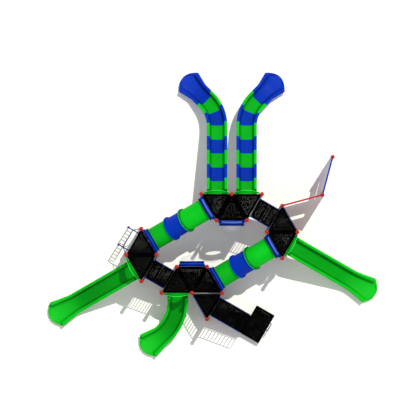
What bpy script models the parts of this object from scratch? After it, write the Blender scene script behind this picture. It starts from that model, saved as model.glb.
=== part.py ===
"""Playground play structure: five decks on round posts, joined by stairs and crawl tunnels.

Every deck is made of equal triangles with a post at each corner. Five slides, two tunnels,
two short stairs, a transfer stair, a rung climber and two climbing walls hang on the deck
edges. Plan axes: +X right, +Y up the page, +Z up from the ground. Metres.
"""

import math

import bmesh
import bpy
from mathutils import Vector

# Driving dimensions
SIDE = 1.067
TUNNEL_SPAN = 2.43
STAIR_SPAN = 0.82
GAP = 0.0003

# Heights of the decks and of the posts round them
DECK_A = 1.981
DECK_B = 1.524
DECK_C = 1.524
DECK_D = 1.067
DECK_E = 0.914
PLATFORM = 0.305
TOP_A = 3.40
TOP_B = 2.79
TOP_C = 2.79
TOP_D = 2.44
TOP_E = 2.16
TOP_WALL = 3.05

# Posts and decks
POST_R = 0.0635
POST_SIDES = 24
CAP_R = 0.070
CAP_H = 0.045
DECK_T = 0.057
RISER_T = 0.050
CLEAR_R = (POST_R + GAP) / math.cos(math.pi / POST_SIDES)
REACH = SIDE / 2 - POST_R - GAP

# Slides: trough width, height of the rails over the bed, bed height at the exit
TROUGH_W = 0.72
TROUGH_RAIL = 0.26
BED_EXIT = 0.13
TROUGH_T = 0.04
EXIT_W = 0.96
MOUTH = 0.150
FLARE_POWER = 1.3
LIP = 0.285
TWIN_LIP = 0.268

# Hoods over the slide mouths
HOOD_BULGE = 0.142
HOOD_END = 0.050
HOOD_IN = 0.040
HOOD_SIDE_H = 0.80
HOOD_TOP_H = 1.02
DOOR_HALF = 0.26
DOOR_SPRING = 0.475

# Tunnels and the panels that carry them
PANEL_HALF = 0.457
PANEL_OUT = 0.188
PANEL_IN_END = 0.03
PANEL_IN_MID = 0.055
PANEL_SIDE_H = 0.90
PANEL_TOP_H = 1.14
HOLE_R = 0.33
HOLE_Z = 0.62
TUBE_R = 0.39
TUBE_INNER_R = 0.36
FLANGE_R = 0.445
FLANGE_T = 0.028
TUBE_SIDES = 20
TUNNEL_MIDDLE = 0.583
TUNNEL_TILT = 30.0
WINDOW_R = 0.345
DOME_R = 0.40
DOME_OUT = 0.245
DOME_T = 0.012

# Stairs and the side rails with upright bars
STEP_HALF = 0.34
STEP_T = 0.05
RISER_PLATE = 0.04
RAIL_T = 0.030
RAIL_SKIRT = 0.22
RAIL_UPPER = 0.20
RAIL_LOWER = 0.34
BAR_W = 0.030
CROSS_BAR = 0.04
BARRIER_SILL = 0.21
BARRIER_HEAD = 0.97
BARRIER_HIGH = 1.01

# Transfer stair and its platform
TRANSFER_GOINGS = (0.49, 0.40, 0.40)
PLATFORM_START = 1.265
PLATFORM_END = 1.990
PLATFORM_WIDE = -0.766
PLATFORM_NARROW = 0.367
LEG_W = 0.06
TRANSFER_RAIL_END = 1.24

# Climbers
PIPE_R = 0.020
CLIMBER_HALF = 0.3475
CLIMBER_OUT = 0.41
CLIMBER_RUNG = 0.23
RUNG_PITCH = 0.266
RUNGS = 5
WALL_T = 0.060
WALL_LOW = 0.30
WALL_HIGH = 2.97
WALL_1_SPAN = 1.464
WALL_2_SPAN = 1.383
SLOT_HALF = 0.525
SLOT_LOW = 1.40
SLOT_HIGH = 1.90

GREEN = (0.010, 0.520, 0.050)
BLUE = (0.015, 0.090, 0.600)
RED = (0.600, 0.020, 0.015)
BLACK = (0.020, 0.020, 0.022)
GREY = (0.250, 0.250, 0.260)


def direction(angle, length=1.0):
    """A plan vector of a length along an angle in degrees."""
    return Vector((math.cos(math.radians(angle)), math.sin(math.radians(angle)), 0)) * length


def plan_points():
    """Post centres on the triangular grid, from the first post of deck A."""
    p = {"a1": Vector((0, 0, 0))}
    p["a2"] = p["a1"] + direction(0, SIDE)
    p["a3"] = p["a2"] + direction(0, SIDE)
    p["a4"] = p["a1"] + direction(-60, SIDE)
    p["a5"] = p["a4"] + direction(0, SIDE)
    p["b1"] = p["a1"] + direction(210, TUNNEL_SPAN)
    p["b3"] = p["a4"] + direction(210, TUNNEL_SPAN)
    p["b2"] = p["b1"] + direction(-120, SIDE)
    p["b4"] = p["b3"] + direction(-120, SIDE)
    p["c1"] = p["a3"] + direction(-30, STAIR_SPAN)
    p["c2"] = p["a5"] + direction(-30, STAIR_SPAN)
    p["c3"] = p["c1"] + direction(-60, SIDE)
    p["c4"] = p["c2"] + direction(-60, SIDE)
    p["d2"] = p["c2"] + direction(210, TUNNEL_SPAN)
    p["d5"] = p["c4"] + direction(210, TUNNEL_SPAN)
    p["d1"] = p["d2"] + direction(180, SIDE)
    p["d4"] = p["d5"] + direction(180, SIDE)
    p["d3"] = p["d4"] + direction(180, SIDE)
    p["e1"] = p["d4"] + direction(-60, SIDE)
    p["w1"] = p["c1"] + direction(15, WALL_1_SPAN)
    p["w2"] = p["w1"] + direction(75, WALL_2_SPAN)
    return p


def make_material(name, colour, roughness, metallic=0.0):
    """A plain surface of one colour."""
    material = bpy.data.materials.new(name)
    material.use_nodes = True
    shader = material.node_tree.nodes["Principled BSDF"]
    shader.inputs["Base Color"].default_value = (*colour, 1.0)
    shader.inputs["Roughness"].default_value = roughness
    shader.inputs["Metallic"].default_value = metallic
    return material


def add_object(name, bm, colour, place=(0, 0, 0), turn=0.0, roughness=0.4):
    """Turn a bmesh into a named object with its own material, at a place and turn in plan."""
    bmesh.ops.recalc_face_normals(bm, faces=bm.faces)
    mesh = bpy.data.meshes.new(name)
    bm.to_mesh(mesh)
    bm.free()
    mesh.shade_smooth()
    mesh.set_sharp_from_angle(angle=math.radians(35))
    mesh.materials.append(make_material(name, colour, roughness))
    obj = bpy.data.objects.new(name, mesh)
    bpy.context.collection.objects.link(obj)
    obj.location = place
    obj.rotation_euler = (0, 0, math.radians(turn))
    return obj


def combine(target, operation, bm):
    """Cut a shape out of an object, or join it on, in the object's own axes."""
    bmesh.ops.recalc_face_normals(bm, faces=bm.faces)
    mesh = bpy.data.meshes.new(target.name + "_tool")
    bm.to_mesh(mesh)
    bm.free()
    tool = bpy.data.objects.new(target.name + "_tool", mesh)
    bpy.context.collection.objects.link(tool)
    tool.parent = target
    tool.hide_render = True
    tool.display_type = 'WIRE'
    modifier = target.modifiers.new(operation.lower(), 'BOOLEAN')
    modifier.operation = operation
    modifier.solver = 'EXACT'
    modifier.object = tool


def loft(bm, rings, cyclic=False):
    """Skin closed rings of equal count, and cap the ends unless the rings run in a loop."""
    loops = [[bm.verts.new(point) for point in ring] for ring in rings]
    pairs = list(zip(loops, loops[1:]))
    if cyclic:
        pairs.append((loops[-1], loops[0]))
    for low, high in pairs:
        for i in range(len(low)):
            j = (i + 1) % len(low)
            bm.faces.new((low[i], low[j], high[j], high[i]))
    if not cyclic:
        bm.faces.new(loops[0])
        bm.faces.new(loops[-1])


def prism(bm, outline, place, low, high):
    """Extrude a flat outline from low to high, place(u, v, w) giving each corner in 3-D."""
    loft(bm, [[place(u, v, w) for u, v in outline] for w in (low, high)])


def box(bm, low, high):
    """A box between two corners."""
    outline = [(low[0], low[1]), (high[0], low[1]), (high[0], high[1]), (low[0], high[1])]
    prism(bm, outline, lambda u, v, w: (u, v, w), low[2], high[2])


def lattice(bm, us, vs, is_open, low, high, place):
    """A plate in cells on a grid, the open cells left out, bent into 3-D by place(u, v, w)."""
    corners = {}

    def corner(i, j, side):
        if (i, j, side) not in corners:
            corners[i, j, side] = bm.verts.new(place(us[i], vs[j], (low, high)[side]))
        return corners[i, j, side]

    def solid(i, j):
        return 0 <= i < len(us) - 1 and 0 <= j < len(vs) - 1 and not is_open(i, j)

    for i in range(len(us) - 1):
        for j in range(len(vs) - 1):
            if not solid(i, j):
                continue
            square = [(i, j), (i + 1, j), (i + 1, j + 1), (i, j + 1)]
            for side in (0, 1):
                bm.faces.new([corner(a, b, side) for a, b in square])
            beyond = [(i, j - 1), (i + 1, j), (i, j + 1), (i - 1, j)]
            for k, neighbour in enumerate(beyond):
                if not solid(*neighbour):
                    (a, b), (c, d) = square[k], square[(k + 1) % 4]
                    bm.faces.new([corner(a, b, 0), corner(c, d, 0), corner(c, d, 1), corner(a, b, 1)])


def turned(bm, profile, sides, place):
    """Turn a profile of (radius, height) about its axis, a zero radius closing it to a point."""
    rings = []
    for radius, height in profile:
        angles = [math.tau * k / sides for k in range(1 if radius == 0 else sides)]
        rings.append([bm.verts.new(place(radius * math.cos(a), radius * math.sin(a), height))
                      for a in angles])
    for low, high in zip(rings, rings[1:]):
        for k in range(sides):
            ring = (low[k % len(low)], low[(k + 1) % len(low)],
                    high[(k + 1) % len(high)], high[k % len(high)])
            bm.faces.new(list(dict.fromkeys(ring)))
    for ring in (rings[0], rings[-1]):
        if len(ring) > 1:
            bm.faces.new(ring)


def pipe(bm, points, radius=PIPE_R, sides=8):
    """A round bar along a bent line, with mitred bends."""
    points = [Vector(p) for p in points]
    along = (points[1] - points[0]).normalized()
    across = along.cross(Vector((0.0, 0.0, 1.0)) if abs(along.z) < 0.9 else Vector((1.0, 0.0, 0.0)))
    across.normalize()
    other = along.cross(across)
    angles = [math.tau * (k + 0.5) / sides for k in range(sides)]
    ring = [points[0] + (across * math.cos(a) + other * math.sin(a)) * radius for a in angles]
    rings = [ring]
    for k in range(1, len(points)):
        along = (points[k] - points[k - 1]).normalized()
        ahead = (points[k + 1] - points[k]).normalized() if k + 1 < len(points) else along
        normal = (along + ahead).normalized()
        ring = [p + along * ((points[k] - p).dot(normal) / along.dot(normal)) for p in ring]
        rings.append(ring)
    loft(bm, rings)


def bend(before, corner, after, radius):
    """Three points round a corner of a pipe in place of the sharp corner."""
    before, corner, after = Vector(before), Vector(corner), Vector(after)
    start = corner + (before - corner).normalized() * radius
    end = corner + (after - corner).normalized() * radius
    middle = corner * 0.42 + (start + end) * 0.29
    return [start, middle, end]


def edge_place(p, start, end):
    """Middle of the edge between two posts."""
    return (p[start] + p[end]) / 2


def make_post(name, centre, top):
    """Round post standing on the ground under a slightly wider round cap."""
    bm = bmesh.new()
    profile = [(POST_R, 0.0), (POST_R, top - CAP_H), (CAP_R, top - CAP_H + 0.003),
               (CAP_R, top - 0.016), (POST_R * 0.75, top)]
    turned(bm, profile, POST_SIDES, lambda x, y, z: (x, y, z))
    return add_object(name, bm, RED, centre)


def make_deck(name, corners, posts, height):
    """Deck plate with its corners cut round the posts."""
    bm = bmesh.new()
    outline = [(c.x, c.y) for c in corners]
    prism(bm, outline, lambda u, v, w: (u, v, w), height - DECK_T, height)
    deck = add_object(name, bm, BLACK, roughness=0.8)
    cutter = bmesh.new()
    profile = [(CLEAR_R, height - 2 * DECK_T), (CLEAR_R, height + DECK_T)]
    for post in posts:
        turned(cutter, profile, POST_SIDES, lambda x, y, z, c=post: (c.x + x, c.y + y, z))
    combine(deck, 'DIFFERENCE', cutter)
    return deck


def bed_height(deck, s, end):
    """Height of a slide's bed at a plan distance: level, down one even slope, level again."""
    start, ease_in, ease_out = 0.10, 0.30, 0.50
    slope = (deck - BED_EXIT) / (end - start - (ease_in + ease_out) / 2)
    s = min(max(s, start), end) - start
    length = end - start
    drop = slope * (s - ease_in / 2)
    if s < ease_in:
        drop = slope * s * s / (2 * ease_in)
    if s > length - ease_out:
        left = length - s
        drop = deck - BED_EXIT - slope * left * left / (2 * ease_out)
    return deck - drop


def slide_path(s, straight, radius, turn):
    """Plan point and heading of a slide that runs straight, turns on an arc, and runs on."""
    sign = 1 if turn >= 0 else -1
    turn = math.radians(abs(turn))
    arc = radius * turn
    swept = min(max(s - straight, 0.0), arc) / radius if radius else 0.0
    x = radius * (1 - math.cos(swept))
    y = min(s, straight) + radius * math.sin(swept)
    rest = max(s - straight - arc, 0.0)
    x += rest * math.sin(swept)
    y += rest * math.cos(swept)
    return Vector((-sign * x, y, 0)), sign * swept


def trough(width, rail):
    """Half of the trough's section as (across, up), inside first, then the rolled rail and under."""
    return [(0.221 * width, 0.0), (0.317 * width, 0.2 * rail), (0.350 * width, 0.82 * rail),
            (0.424 * width, rail), (0.500 * width, 0.84 * rail), (0.500 * width, 0.60 * rail),
            (0.443 * width, 0.58 * rail), (0.407 * width, 0.0), (0.286 * width, -TROUGH_T)]


def make_slide(name, place, turn, deck, offset, path, length, end, foot, flare, lip):
    """Open trough from the deck edge down to a flared round lip standing on the ground."""
    straight, radius, swing = path
    body_steps = 8 if radius == 0 else 13
    body_end = length - flare
    stations = [(GAP, TROUGH_W, 0.0), (MOUTH, TROUGH_W, 0.0), (MOUTH + 0.01, TROUGH_W, TROUGH_RAIL)]
    for k in range(1, body_steps + 1):
        s = MOUTH + (body_end - MOUTH) * k / body_steps
        stations.append((s, TROUGH_W, TROUGH_RAIL))
    marks = [foot - 0.02, foot] + [body_end + flare * k / 4 for k in range(1, 5)]
    for s in marks:
        share = max(0.0, (s - body_end) / flare) ** FLARE_POWER
        stations.append((s, TROUGH_W + (EXIT_W - TROUGH_W) * share, TROUGH_RAIL))
    stations.sort()
    for share, rail in ((0.06, 0.11), (0.28, 0.08), (0.56, 0.06), (0.82, 0.05), (0.98, 0.04)):
        stations.append((length + share * lip, EXIT_W * math.sqrt(1 - share), rail))
    rings = []
    for s, width, rail in stations:
        point, heading = slide_path(s, straight, radius, swing)
        bed = bed_height(deck, s, end)
        half = trough(width, rail)
        if rail == 0.0:
            half = [(u, 0.0 if i < 5 else -TROUGH_T) for i, (u, w) in enumerate(half)]
        if s >= foot:
            half = half[:7] + [(half[7][0], -bed), (half[8][0], -bed)]
        section = half + [(-u, w) for u, w in reversed(half)]
        across = Vector((math.cos(heading), math.sin(heading), 0))
        middle = point + Vector((offset, 0, bed))
        rings.append([middle + across * u + Vector((0, 0, w)) for u, w in section])
    bm = bmesh.new()
    loft(bm, rings)
    return add_object(name, bm, GREEN, place, turn)


def make_hood(name, place, turn, deck):
    """Arched wall bulging out between two posts, with a doorway over the slide's mouth."""
    columns = [REACH * math.sin(math.radians(90 * k / 6)) for k in range(-6, 7)]

    def bent(u, v, w):
        middle = 1 - (u / REACH) ** 2
        out = HOOD_END + (HOOD_BULGE - HOOD_END) * middle if w else GAP + HOOD_IN * middle
        top = HOOD_SIDE_H + (HOOD_TOP_H - HOOD_SIDE_H) * math.cos(math.pi / 2 * u / REACH)
        return (u, out, deck + GAP + v * top)

    bm = bmesh.new()
    lattice(bm, columns, [0, 1], lambda i, j: False, 0, 1, bent)
    hood = add_object(name, bm, GREEN, place, turn)
    arch = [(DOOR_HALF, -0.1)]
    arch += [(DOOR_HALF * math.cos(math.pi * k / 10), DOOR_SPRING + DOOR_HALF * math.sin(math.pi * k / 10))
             for k in range(11)]
    arch += [(-DOOR_HALF, -0.1)]
    cutter = bmesh.new()
    prism(cutter, arch, lambda u, v, w: (u, w, deck + v), -0.2, 0.4)
    combine(hood, 'DIFFERENCE', cutter)
    return hood


def panel_body(deck, bm):
    """Thick moulded panel, flat outside, leaning out and hollowed inside, with an arched top."""
    columns = [PANEL_HALF * k / 6 for k in range(-6, 7)]

    def bent(u, v, w):
        t = (u / PANEL_HALF) ** 2
        inside = GAP + v * (PANEL_IN_MID + (PANEL_IN_END - PANEL_IN_MID) * t)
        top = PANEL_SIDE_H + (PANEL_TOP_H - PANEL_SIDE_H) * math.cos(math.pi / 2 * u / PANEL_HALF)
        return (u, inside + (PANEL_OUT - inside) * w, deck - DECK_T + v * (top + DECK_T))

    lattice(bm, columns, [0, 1], lambda i, j: False, 0.0, 1.0, bent)


def panel_ears(deck):
    """Four lugs that hold a panel to the two posts beside it."""
    bm = bmesh.new()
    for side in (-1, 1):
        for height in (0.12, 0.72):
            x = sorted((side * (PANEL_HALF - 0.03), side * REACH))
            box(bm, (x[0], -0.02, deck + height), (x[1], 0.06, deck + height + 0.07))
    return bm


def make_tunnel_panel(name, place, turn, deck):
    """Panel with the round mouth of a tunnel."""
    bm = bmesh.new()
    panel_body(deck, bm)
    panel = add_object(name, bm, BLUE, place, turn)
    combine(panel, 'UNION', panel_ears(deck))
    cutter = bmesh.new()
    turned(cutter, [(HOLE_R, -0.1), (HOLE_R, 0.3)], TUBE_SIDES,
           lambda x, y, z: (x, z, deck + HOLE_Z + y))
    combine(panel, 'DIFFERENCE', cutter)
    return panel


def make_bubble_panel(name, place, turn, deck):
    """Panel with a round window closed by a dome that bulges outward."""
    bm = bmesh.new()
    panel_body(deck, bm)
    panel = add_object(name, bm, BLUE, place, turn)
    combine(panel, 'UNION', panel_ears(deck))
    steps = 6
    outer = [(DOME_R * math.cos(math.pi / 2 * k / steps), DOME_OUT * math.sin(math.pi / 2 * k / steps))
             for k in range(steps)]
    dome = bmesh.new()
    profile = [(DOME_R, -0.02)] + outer + [(0, DOME_OUT)]
    turned(dome, profile, TUBE_SIDES, lambda x, y, z: (x, PANEL_OUT + z, deck + HOLE_Z + y))
    combine(panel, 'UNION', dome)
    hollow = bmesh.new()
    inner_r = DOME_R - DOME_T
    inner_out = DOME_OUT - DOME_T
    profile = [(WINDOW_R, -0.2), (WINDOW_R, 0)]
    profile += [(inner_r * math.cos(math.pi / 2 * k / steps), inner_out * math.sin(math.pi / 2 * k / steps))
                for k in range(steps)]
    profile += [(0, inner_out)]
    turned(hollow, profile, TUBE_SIDES, lambda x, y, z: (x, PANEL_OUT + z, deck + HOLE_Z + y))
    combine(panel, 'DIFFERENCE', hollow)
    return panel


def tube_ring(y, z, tilt, radius):
    """Ring of a tunnel round a point, square to a line that falls at the tilt."""
    up = Vector((0, math.sin(tilt), math.cos(tilt)))
    centre = Vector((0, y, z))
    angles = [math.tau * k / TUBE_SIDES for k in range(TUBE_SIDES)]
    return [centre + Vector((1, 0, 0)) * radius * math.cos(a) + up * radius * math.sin(a)
            for a in angles]


def tunnel_stations(length, drop, tilt):
    """Centre points and tilts down one elbow, from its level mouth to its sloping flange."""
    radius = (drop - TUNNEL_MIDDLE * math.tan(tilt)) / (2 * (1 - math.cos(tilt)))
    level = (length - TUNNEL_MIDDLE) / 2 - radius * math.sin(tilt)
    stations = [(0.0, 0.0, 0.0)]
    for k in range(5):
        t = tilt * k / 4
        stations.append((level + radius * math.sin(t), -radius * (1 - math.cos(t)), t))
    return stations


def elbow_rings(stations):
    """Rings of an elbow: out along the tube, round the flange, and back along the bore."""
    y, z, tilt = stations[-1]
    y -= GAP * math.cos(tilt)
    z += GAP * math.sin(tilt)
    back = (y - FLANGE_T * math.cos(tilt), z + FLANGE_T * math.sin(tilt), tilt)
    outer = stations[:-1] + [back]
    rings = [tube_ring(*s, TUBE_R) for s in outer]
    rings.append(tube_ring(*back, FLANGE_R))
    rings.append(tube_ring(y, z, tilt, FLANGE_R))
    rings.append(tube_ring(y, z, tilt, TUBE_INNER_R))
    rings += [tube_ring(*s, TUBE_INNER_R) for s in reversed(stations[:-1])]
    return rings


def make_tunnel(name, place, turn, deck_high, deck_low):
    """Crawl tunnel in three lengths: an elbow, a sloping middle and a second elbow."""
    tilt = math.radians(TUNNEL_TILT)
    start = PANEL_OUT + GAP
    length = TUNNEL_SPAN - 2 * start
    drop = deck_high - deck_low
    stations = tunnel_stations(length, drop, tilt)
    high = Vector((0, start, deck_high + HOLE_Z))
    low = Vector((0, start + length, deck_low + HOLE_Z))
    pieces = []
    upper = bmesh.new()
    loft(upper, [[high + p for p in ring] for ring in elbow_rings(stations)], cyclic=True)
    pieces.append(add_object(name + "_upper", upper, GREEN, place, turn))
    lower = bmesh.new()
    loft(lower, [[low - p for p in ring] for ring in elbow_rings(stations)], cyclic=True)
    pieces.append(add_object(name + "_lower", lower, GREEN, place, turn))
    y, z, _ = stations[-1]
    first = (y, z, tilt)
    last = (length - y, -drop - z, tilt)
    step_y = FLANGE_T * math.cos(tilt)
    step_z = FLANGE_T * math.sin(tilt)
    first_in = (first[0] + step_y, first[1] - step_z, tilt)
    last_in = (last[0] - step_y, last[1] + step_z, tilt)
    rings = [tube_ring(*first, FLANGE_R), tube_ring(*first_in, FLANGE_R), tube_ring(*first_in, TUBE_R),
             tube_ring(*last_in, TUBE_R), tube_ring(*last_in, FLANGE_R), tube_ring(*last, FLANGE_R),
             tube_ring(*last, TUBE_INNER_R), tube_ring(*first, TUBE_INNER_R)]
    middle = bmesh.new()
    loft(middle, [[high + p for p in ring] for ring in rings], cyclic=True)
    pieces.append(add_object(name + "_middle", middle, BLUE, place, turn))
    return pieces


def step_profile(high, low, goings):
    """Side outline (out, up) of a folded flight, from under one deck's edge to the next."""
    span = sum(goings)
    rise = (high - low) / (len(goings) + 1)
    top = [(GAP, high - 0.004), (RISER_PLATE, high - 0.004)]
    under = [(GAP, high - rise - STEP_T)]
    y = 0.0
    for k, going in enumerate(goings):
        tread = high - rise * (k + 1)
        top.append((RISER_PLATE if k == 0 else y, tread))
        y += going
        top.append((y if k < len(goings) - 1 else span - GAP, tread))
        under.append((y - RISER_PLATE, tread - STEP_T))
        if k < len(goings) - 1:
            under.append((y - RISER_PLATE, tread - rise - STEP_T))
    top.append((span - GAP, low - STEP_T))
    under.append((span - RISER_PLATE, low - STEP_T))
    return top + list(reversed(under))


def make_steps(name, place, turn, high, low, goings):
    """Flight of steps folded from plate, closed at the risers."""
    bm = bmesh.new()
    prism(bm, step_profile(high, low, goings), lambda u, v, w: (w, u, v), -STEP_HALF, STEP_HALF)
    return add_object(name, bm, BLACK, place, turn, roughness=0.8)


def rail_grid(length, bars):
    """Edges along a rail of its upright bars and the gaps between them."""
    pitch = (length - BAR_W) / (bars - 1)
    edges = []
    for k in range(bars):
        edges += [k * pitch, k * pitch + BAR_W]
    return edges


def make_rails(name, place, turn, high, low, start, end, bars, goings, rows):
    """Two side rails of upright bars along a flight, joined by cross bars under its treads.

    The rows are heights of edges over the sill line, which falls less than the steps do.
    """
    span = sum(goings)
    slope = (high - low) / span
    sill_slope = slope - (RAIL_LOWER - RAIL_UPPER) / span
    us = [start + e for e in rail_grid(end - start, bars)]

    def place_edge(u, v, w):
        if v == 0:
            return (w, u, high - slope * u - RAIL_SKIRT)
        return (w, u, high + RAIL_UPPER - sill_slope * u + rows[v - 1])

    bm = bmesh.new()
    for side in (-1, 1):
        inner = side * (STEP_HALF + GAP)
        outer = side * (STEP_HALF + GAP + RAIL_T)
        lattice(bm, us, list(range(len(rows) + 1)), lambda i, j: i % 2 == 1 and j % 2 == 1,
                inner, outer, place_edge)
    rails = add_object(name, bm, BLUE, place, turn)
    rise = (high - low) / (len(goings) + 1)
    half = STEP_HALF + RAIL_T / 2
    bars_under = bmesh.new()
    y = 0.0
    for k, going in enumerate(goings):
        top = high - rise * (k + 1) - STEP_T - GAP
        middle = y + going * 0.4
        box(bars_under, (-half, middle - CROSS_BAR / 2, top - CROSS_BAR),
            (half, middle + CROSS_BAR / 2, top))
        y += going
    combine(rails, 'UNION', bars_under)
    return rails


def rail_brackets(deck, y_low, y_high, levels):
    """Short bars from the rails to the posts at one end of a stair."""
    bm = bmesh.new()
    for side in (-1, 1):
        for level in levels:
            x = sorted((side * (STEP_HALF + RAIL_T / 2), side * REACH))
            box(bm, (x[0], y_low, deck + level), (x[1], y_high, deck + level + 0.05))
    return bm


def make_transfer_station(name, place, turn):
    """Low transfer platform on legs, with the steps that lead from it up to deck E."""
    bm = bmesh.new()
    prism(bm, step_profile(DECK_E, PLATFORM, TRANSFER_GOINGS), lambda u, v, w: (w, u, v),
          -STEP_HALF, STEP_HALF)
    station = add_object(name, bm, BLACK, place, turn, roughness=0.8)
    slab = bmesh.new()
    box(slab, (PLATFORM_WIDE, PLATFORM_START, PLATFORM - 0.045), (PLATFORM_NARROW, PLATFORM_END, PLATFORM))
    combine(station, 'UNION', slab)
    legs = bmesh.new()
    for x in (PLATFORM_WIDE + 0.05, PLATFORM_NARROW - 0.05 - LEG_W):
        for y in (PLATFORM_START + 0.06, PLATFORM_END - 0.05 - LEG_W):
            box(legs, (x, y, 0.0), (x + LEG_W, y + LEG_W, PLATFORM - 0.02))
    combine(station, 'UNION', legs)
    handhold = bmesh.new()
    y = PLATFORM_END + 0.05
    rise = PLATFORM + 0.32
    points = [(-0.45, PLATFORM_END - 0.02, PLATFORM - 0.022)]
    points += bend(points[0], (-0.45, y, PLATFORM - 0.022), (-0.45, y, rise), 0.03)
    points += bend((-0.45, y, PLATFORM), (-0.45, y, rise), (-0.17, y, rise), 0.06)
    points += bend((-0.45, y, rise), (-0.17, y, rise), (-0.17, y, PLATFORM), 0.06)
    points += bend((-0.17, y, rise), (-0.17, y, PLATFORM - 0.022), (-0.17, 0, PLATFORM - 0.022), 0.03)
    points += [(-0.17, PLATFORM_END - 0.02, PLATFORM - 0.022)]
    pipe(handhold, points, 0.016)
    combine(station, 'UNION', handhold)
    return station


def make_barrier(name, place, turn, deck, bars):
    """Upright-bar barrier that fills an open deck edge from post to post."""
    us = [-REACH + e for e in rail_grid(2 * REACH, bars)]
    vs = [-DECK_T, BARRIER_SILL, BARRIER_HEAD, BARRIER_HIGH]
    bm = bmesh.new()
    lattice(bm, us, vs, lambda i, j: i % 2 == 1 and j == 1, GAP, 0.034,
            lambda u, v, w: (u, w, deck + v))
    return add_object(name, bm, BLUE, place, turn)


def make_climbing_wall(name, place, turn, span, colour):
    """Upright climbing panel between two posts, with a long slot at mid height."""
    half = span / 2 - POST_R - GAP
    us = [-half, -SLOT_HALF, SLOT_HALF, half]
    vs = [WALL_LOW, SLOT_LOW, SLOT_HIGH, WALL_HIGH]
    bm = bmesh.new()
    lattice(bm, us, vs, lambda i, j: i == 1 and j == 1, -WALL_T / 2, WALL_T / 2,
            lambda u, v, w: (u, w, v))
    return add_object(name, bm, colour, place, turn)


def make_rung_climber(name, place, turn, deck):
    """Two bent legs from the deck edge to the ground, with set-back rungs and stays to the posts."""
    level = deck - DECK_T / 2
    bm = bmesh.new()
    for x in (-CLIMBER_HALF, CLIMBER_HALF):
        corner = bend((x, 0, level), (x, CLIMBER_OUT, level), (x, CLIMBER_OUT, 0), 0.07)
        pipe(bm, [(x, GAP, level)] + corner + [(x, CLIMBER_OUT, 0)])
    climber = add_object(name, bm, BLUE, place, turn)
    rungs = bmesh.new()
    for k in range(RUNGS):
        z = RUNG_PITCH * (k + 1)
        left = bend((-CLIMBER_HALF, 1, z), (-CLIMBER_HALF, CLIMBER_RUNG, z), (0, CLIMBER_RUNG, z), 0.04)
        right = bend((0, CLIMBER_RUNG, z), (CLIMBER_HALF, CLIMBER_RUNG, z), (CLIMBER_HALF, 1, z), 0.04)
        pipe(rungs, [(-CLIMBER_HALF, CLIMBER_OUT, z)] + left + right + [(CLIMBER_HALF, CLIMBER_OUT, z)],
             0.016)
    for side in (-1, 1):
        start = Vector((side * CLIMBER_HALF, CLIMBER_RUNG, level))
        post = Vector((side * SIDE / 2, 0, level))
        end = post + (start - post).normalized() * (POST_R + 2 * GAP)
        pipe(rungs, [start, end], 0.014)
    combine(climber, 'UNION', rungs)
    return climber


def build_decks(p):
    """The five decks, and the riser plate between decks D and E."""
    for name, corners, posts, height in (
            ("deck_a", "a1 a3 a5 a4", "a1 a2 a3 a4 a5", DECK_A),
            ("deck_b", "b1 b2 b4 b3", "b1 b2 b3 b4", DECK_B),
            ("deck_c", "c1 c3 c4 c2", "c1 c2 c3 c4", DECK_C),
            ("deck_d", "d1 d3 d5 d2", "d1 d2 d3 d4 d5", DECK_D)):
        make_deck(name, [p[c] for c in corners.split()], [p[c] for c in posts.split()], height)
    step = (RISER_T + 2 * GAP) / math.sin(math.radians(60))
    corners = [p["d4"] + direction(-60, step), p["e1"], p["d5"] + direction(-120, step)]
    make_deck("deck_e", corners, [p["d4"], p["d5"], p["e1"]], DECK_E)
    bm = bmesh.new()
    box(bm, (-REACH, GAP, DECK_E - DECK_T), (REACH, GAP + RISER_T, DECK_D))
    add_object("deck_riser", bm, GREY, edge_place(p, "d4", "d5"), 180)


def build_slides(p):
    """Five slides, each with the hood over its mouth, and their plan box."""
    slides = []
    for name, start, end, turn, deck, offset, path, length, level, foot, flare, lip in (
            ("twin_left", "a1", "a2", 0, DECK_A, 0.023, (2.41, 1.24, 45), 4.28, 4.17, 4.0, 0.55, TWIN_LIP),
            ("twin_right", "a2", "a3", 0, DECK_A, -0.008, (2.41, 1.24, -45), 4.28, 4.17, 4.0, 0.55, TWIN_LIP),
            ("left", "b2", "b4", 120, DECK_B, -0.050, (9.0, 0, 0), 3.14, 2.60, 2.55, 0.75, LIP),
            ("right", "c3", "c4", -120, DECK_C, -0.012, (9.0, 0, 0), 3.19, 2.60, 2.55, 0.75, LIP),
            ("curved", "d3", "d4", 180, DECK_D, -0.034, (0.30, 1.547, -53.5), 2.24, 2.00, 1.95, 0.65, LIP)):
        place = edge_place(p, start, end)
        slides.append(make_slide("slide_" + name, place, turn, deck, offset, path, length, level, foot,
                                 flare, lip))
        make_hood("hood_" + name, place, turn, deck)
    return slides


def build_panels(p):
    """Panels with tunnel mouths and with bubble windows."""
    for name, start, end, turn, deck in (
            ("tunnel_panel_a", "a1", "a4", 120, DECK_A), ("tunnel_panel_b", "b1", "b3", -60, DECK_B),
            ("tunnel_panel_c", "c2", "c4", 120, DECK_C), ("tunnel_panel_d", "d2", "d5", -60, DECK_D)):
        make_tunnel_panel(name, edge_place(p, start, end), turn, deck)
    make_bubble_panel("bubble_panel_a", edge_place(p, "a4", "a5"), 180, DECK_A)
    make_bubble_panel("bubble_panel_d", edge_place(p, "d1", "d2"), 0, DECK_D)


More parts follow.
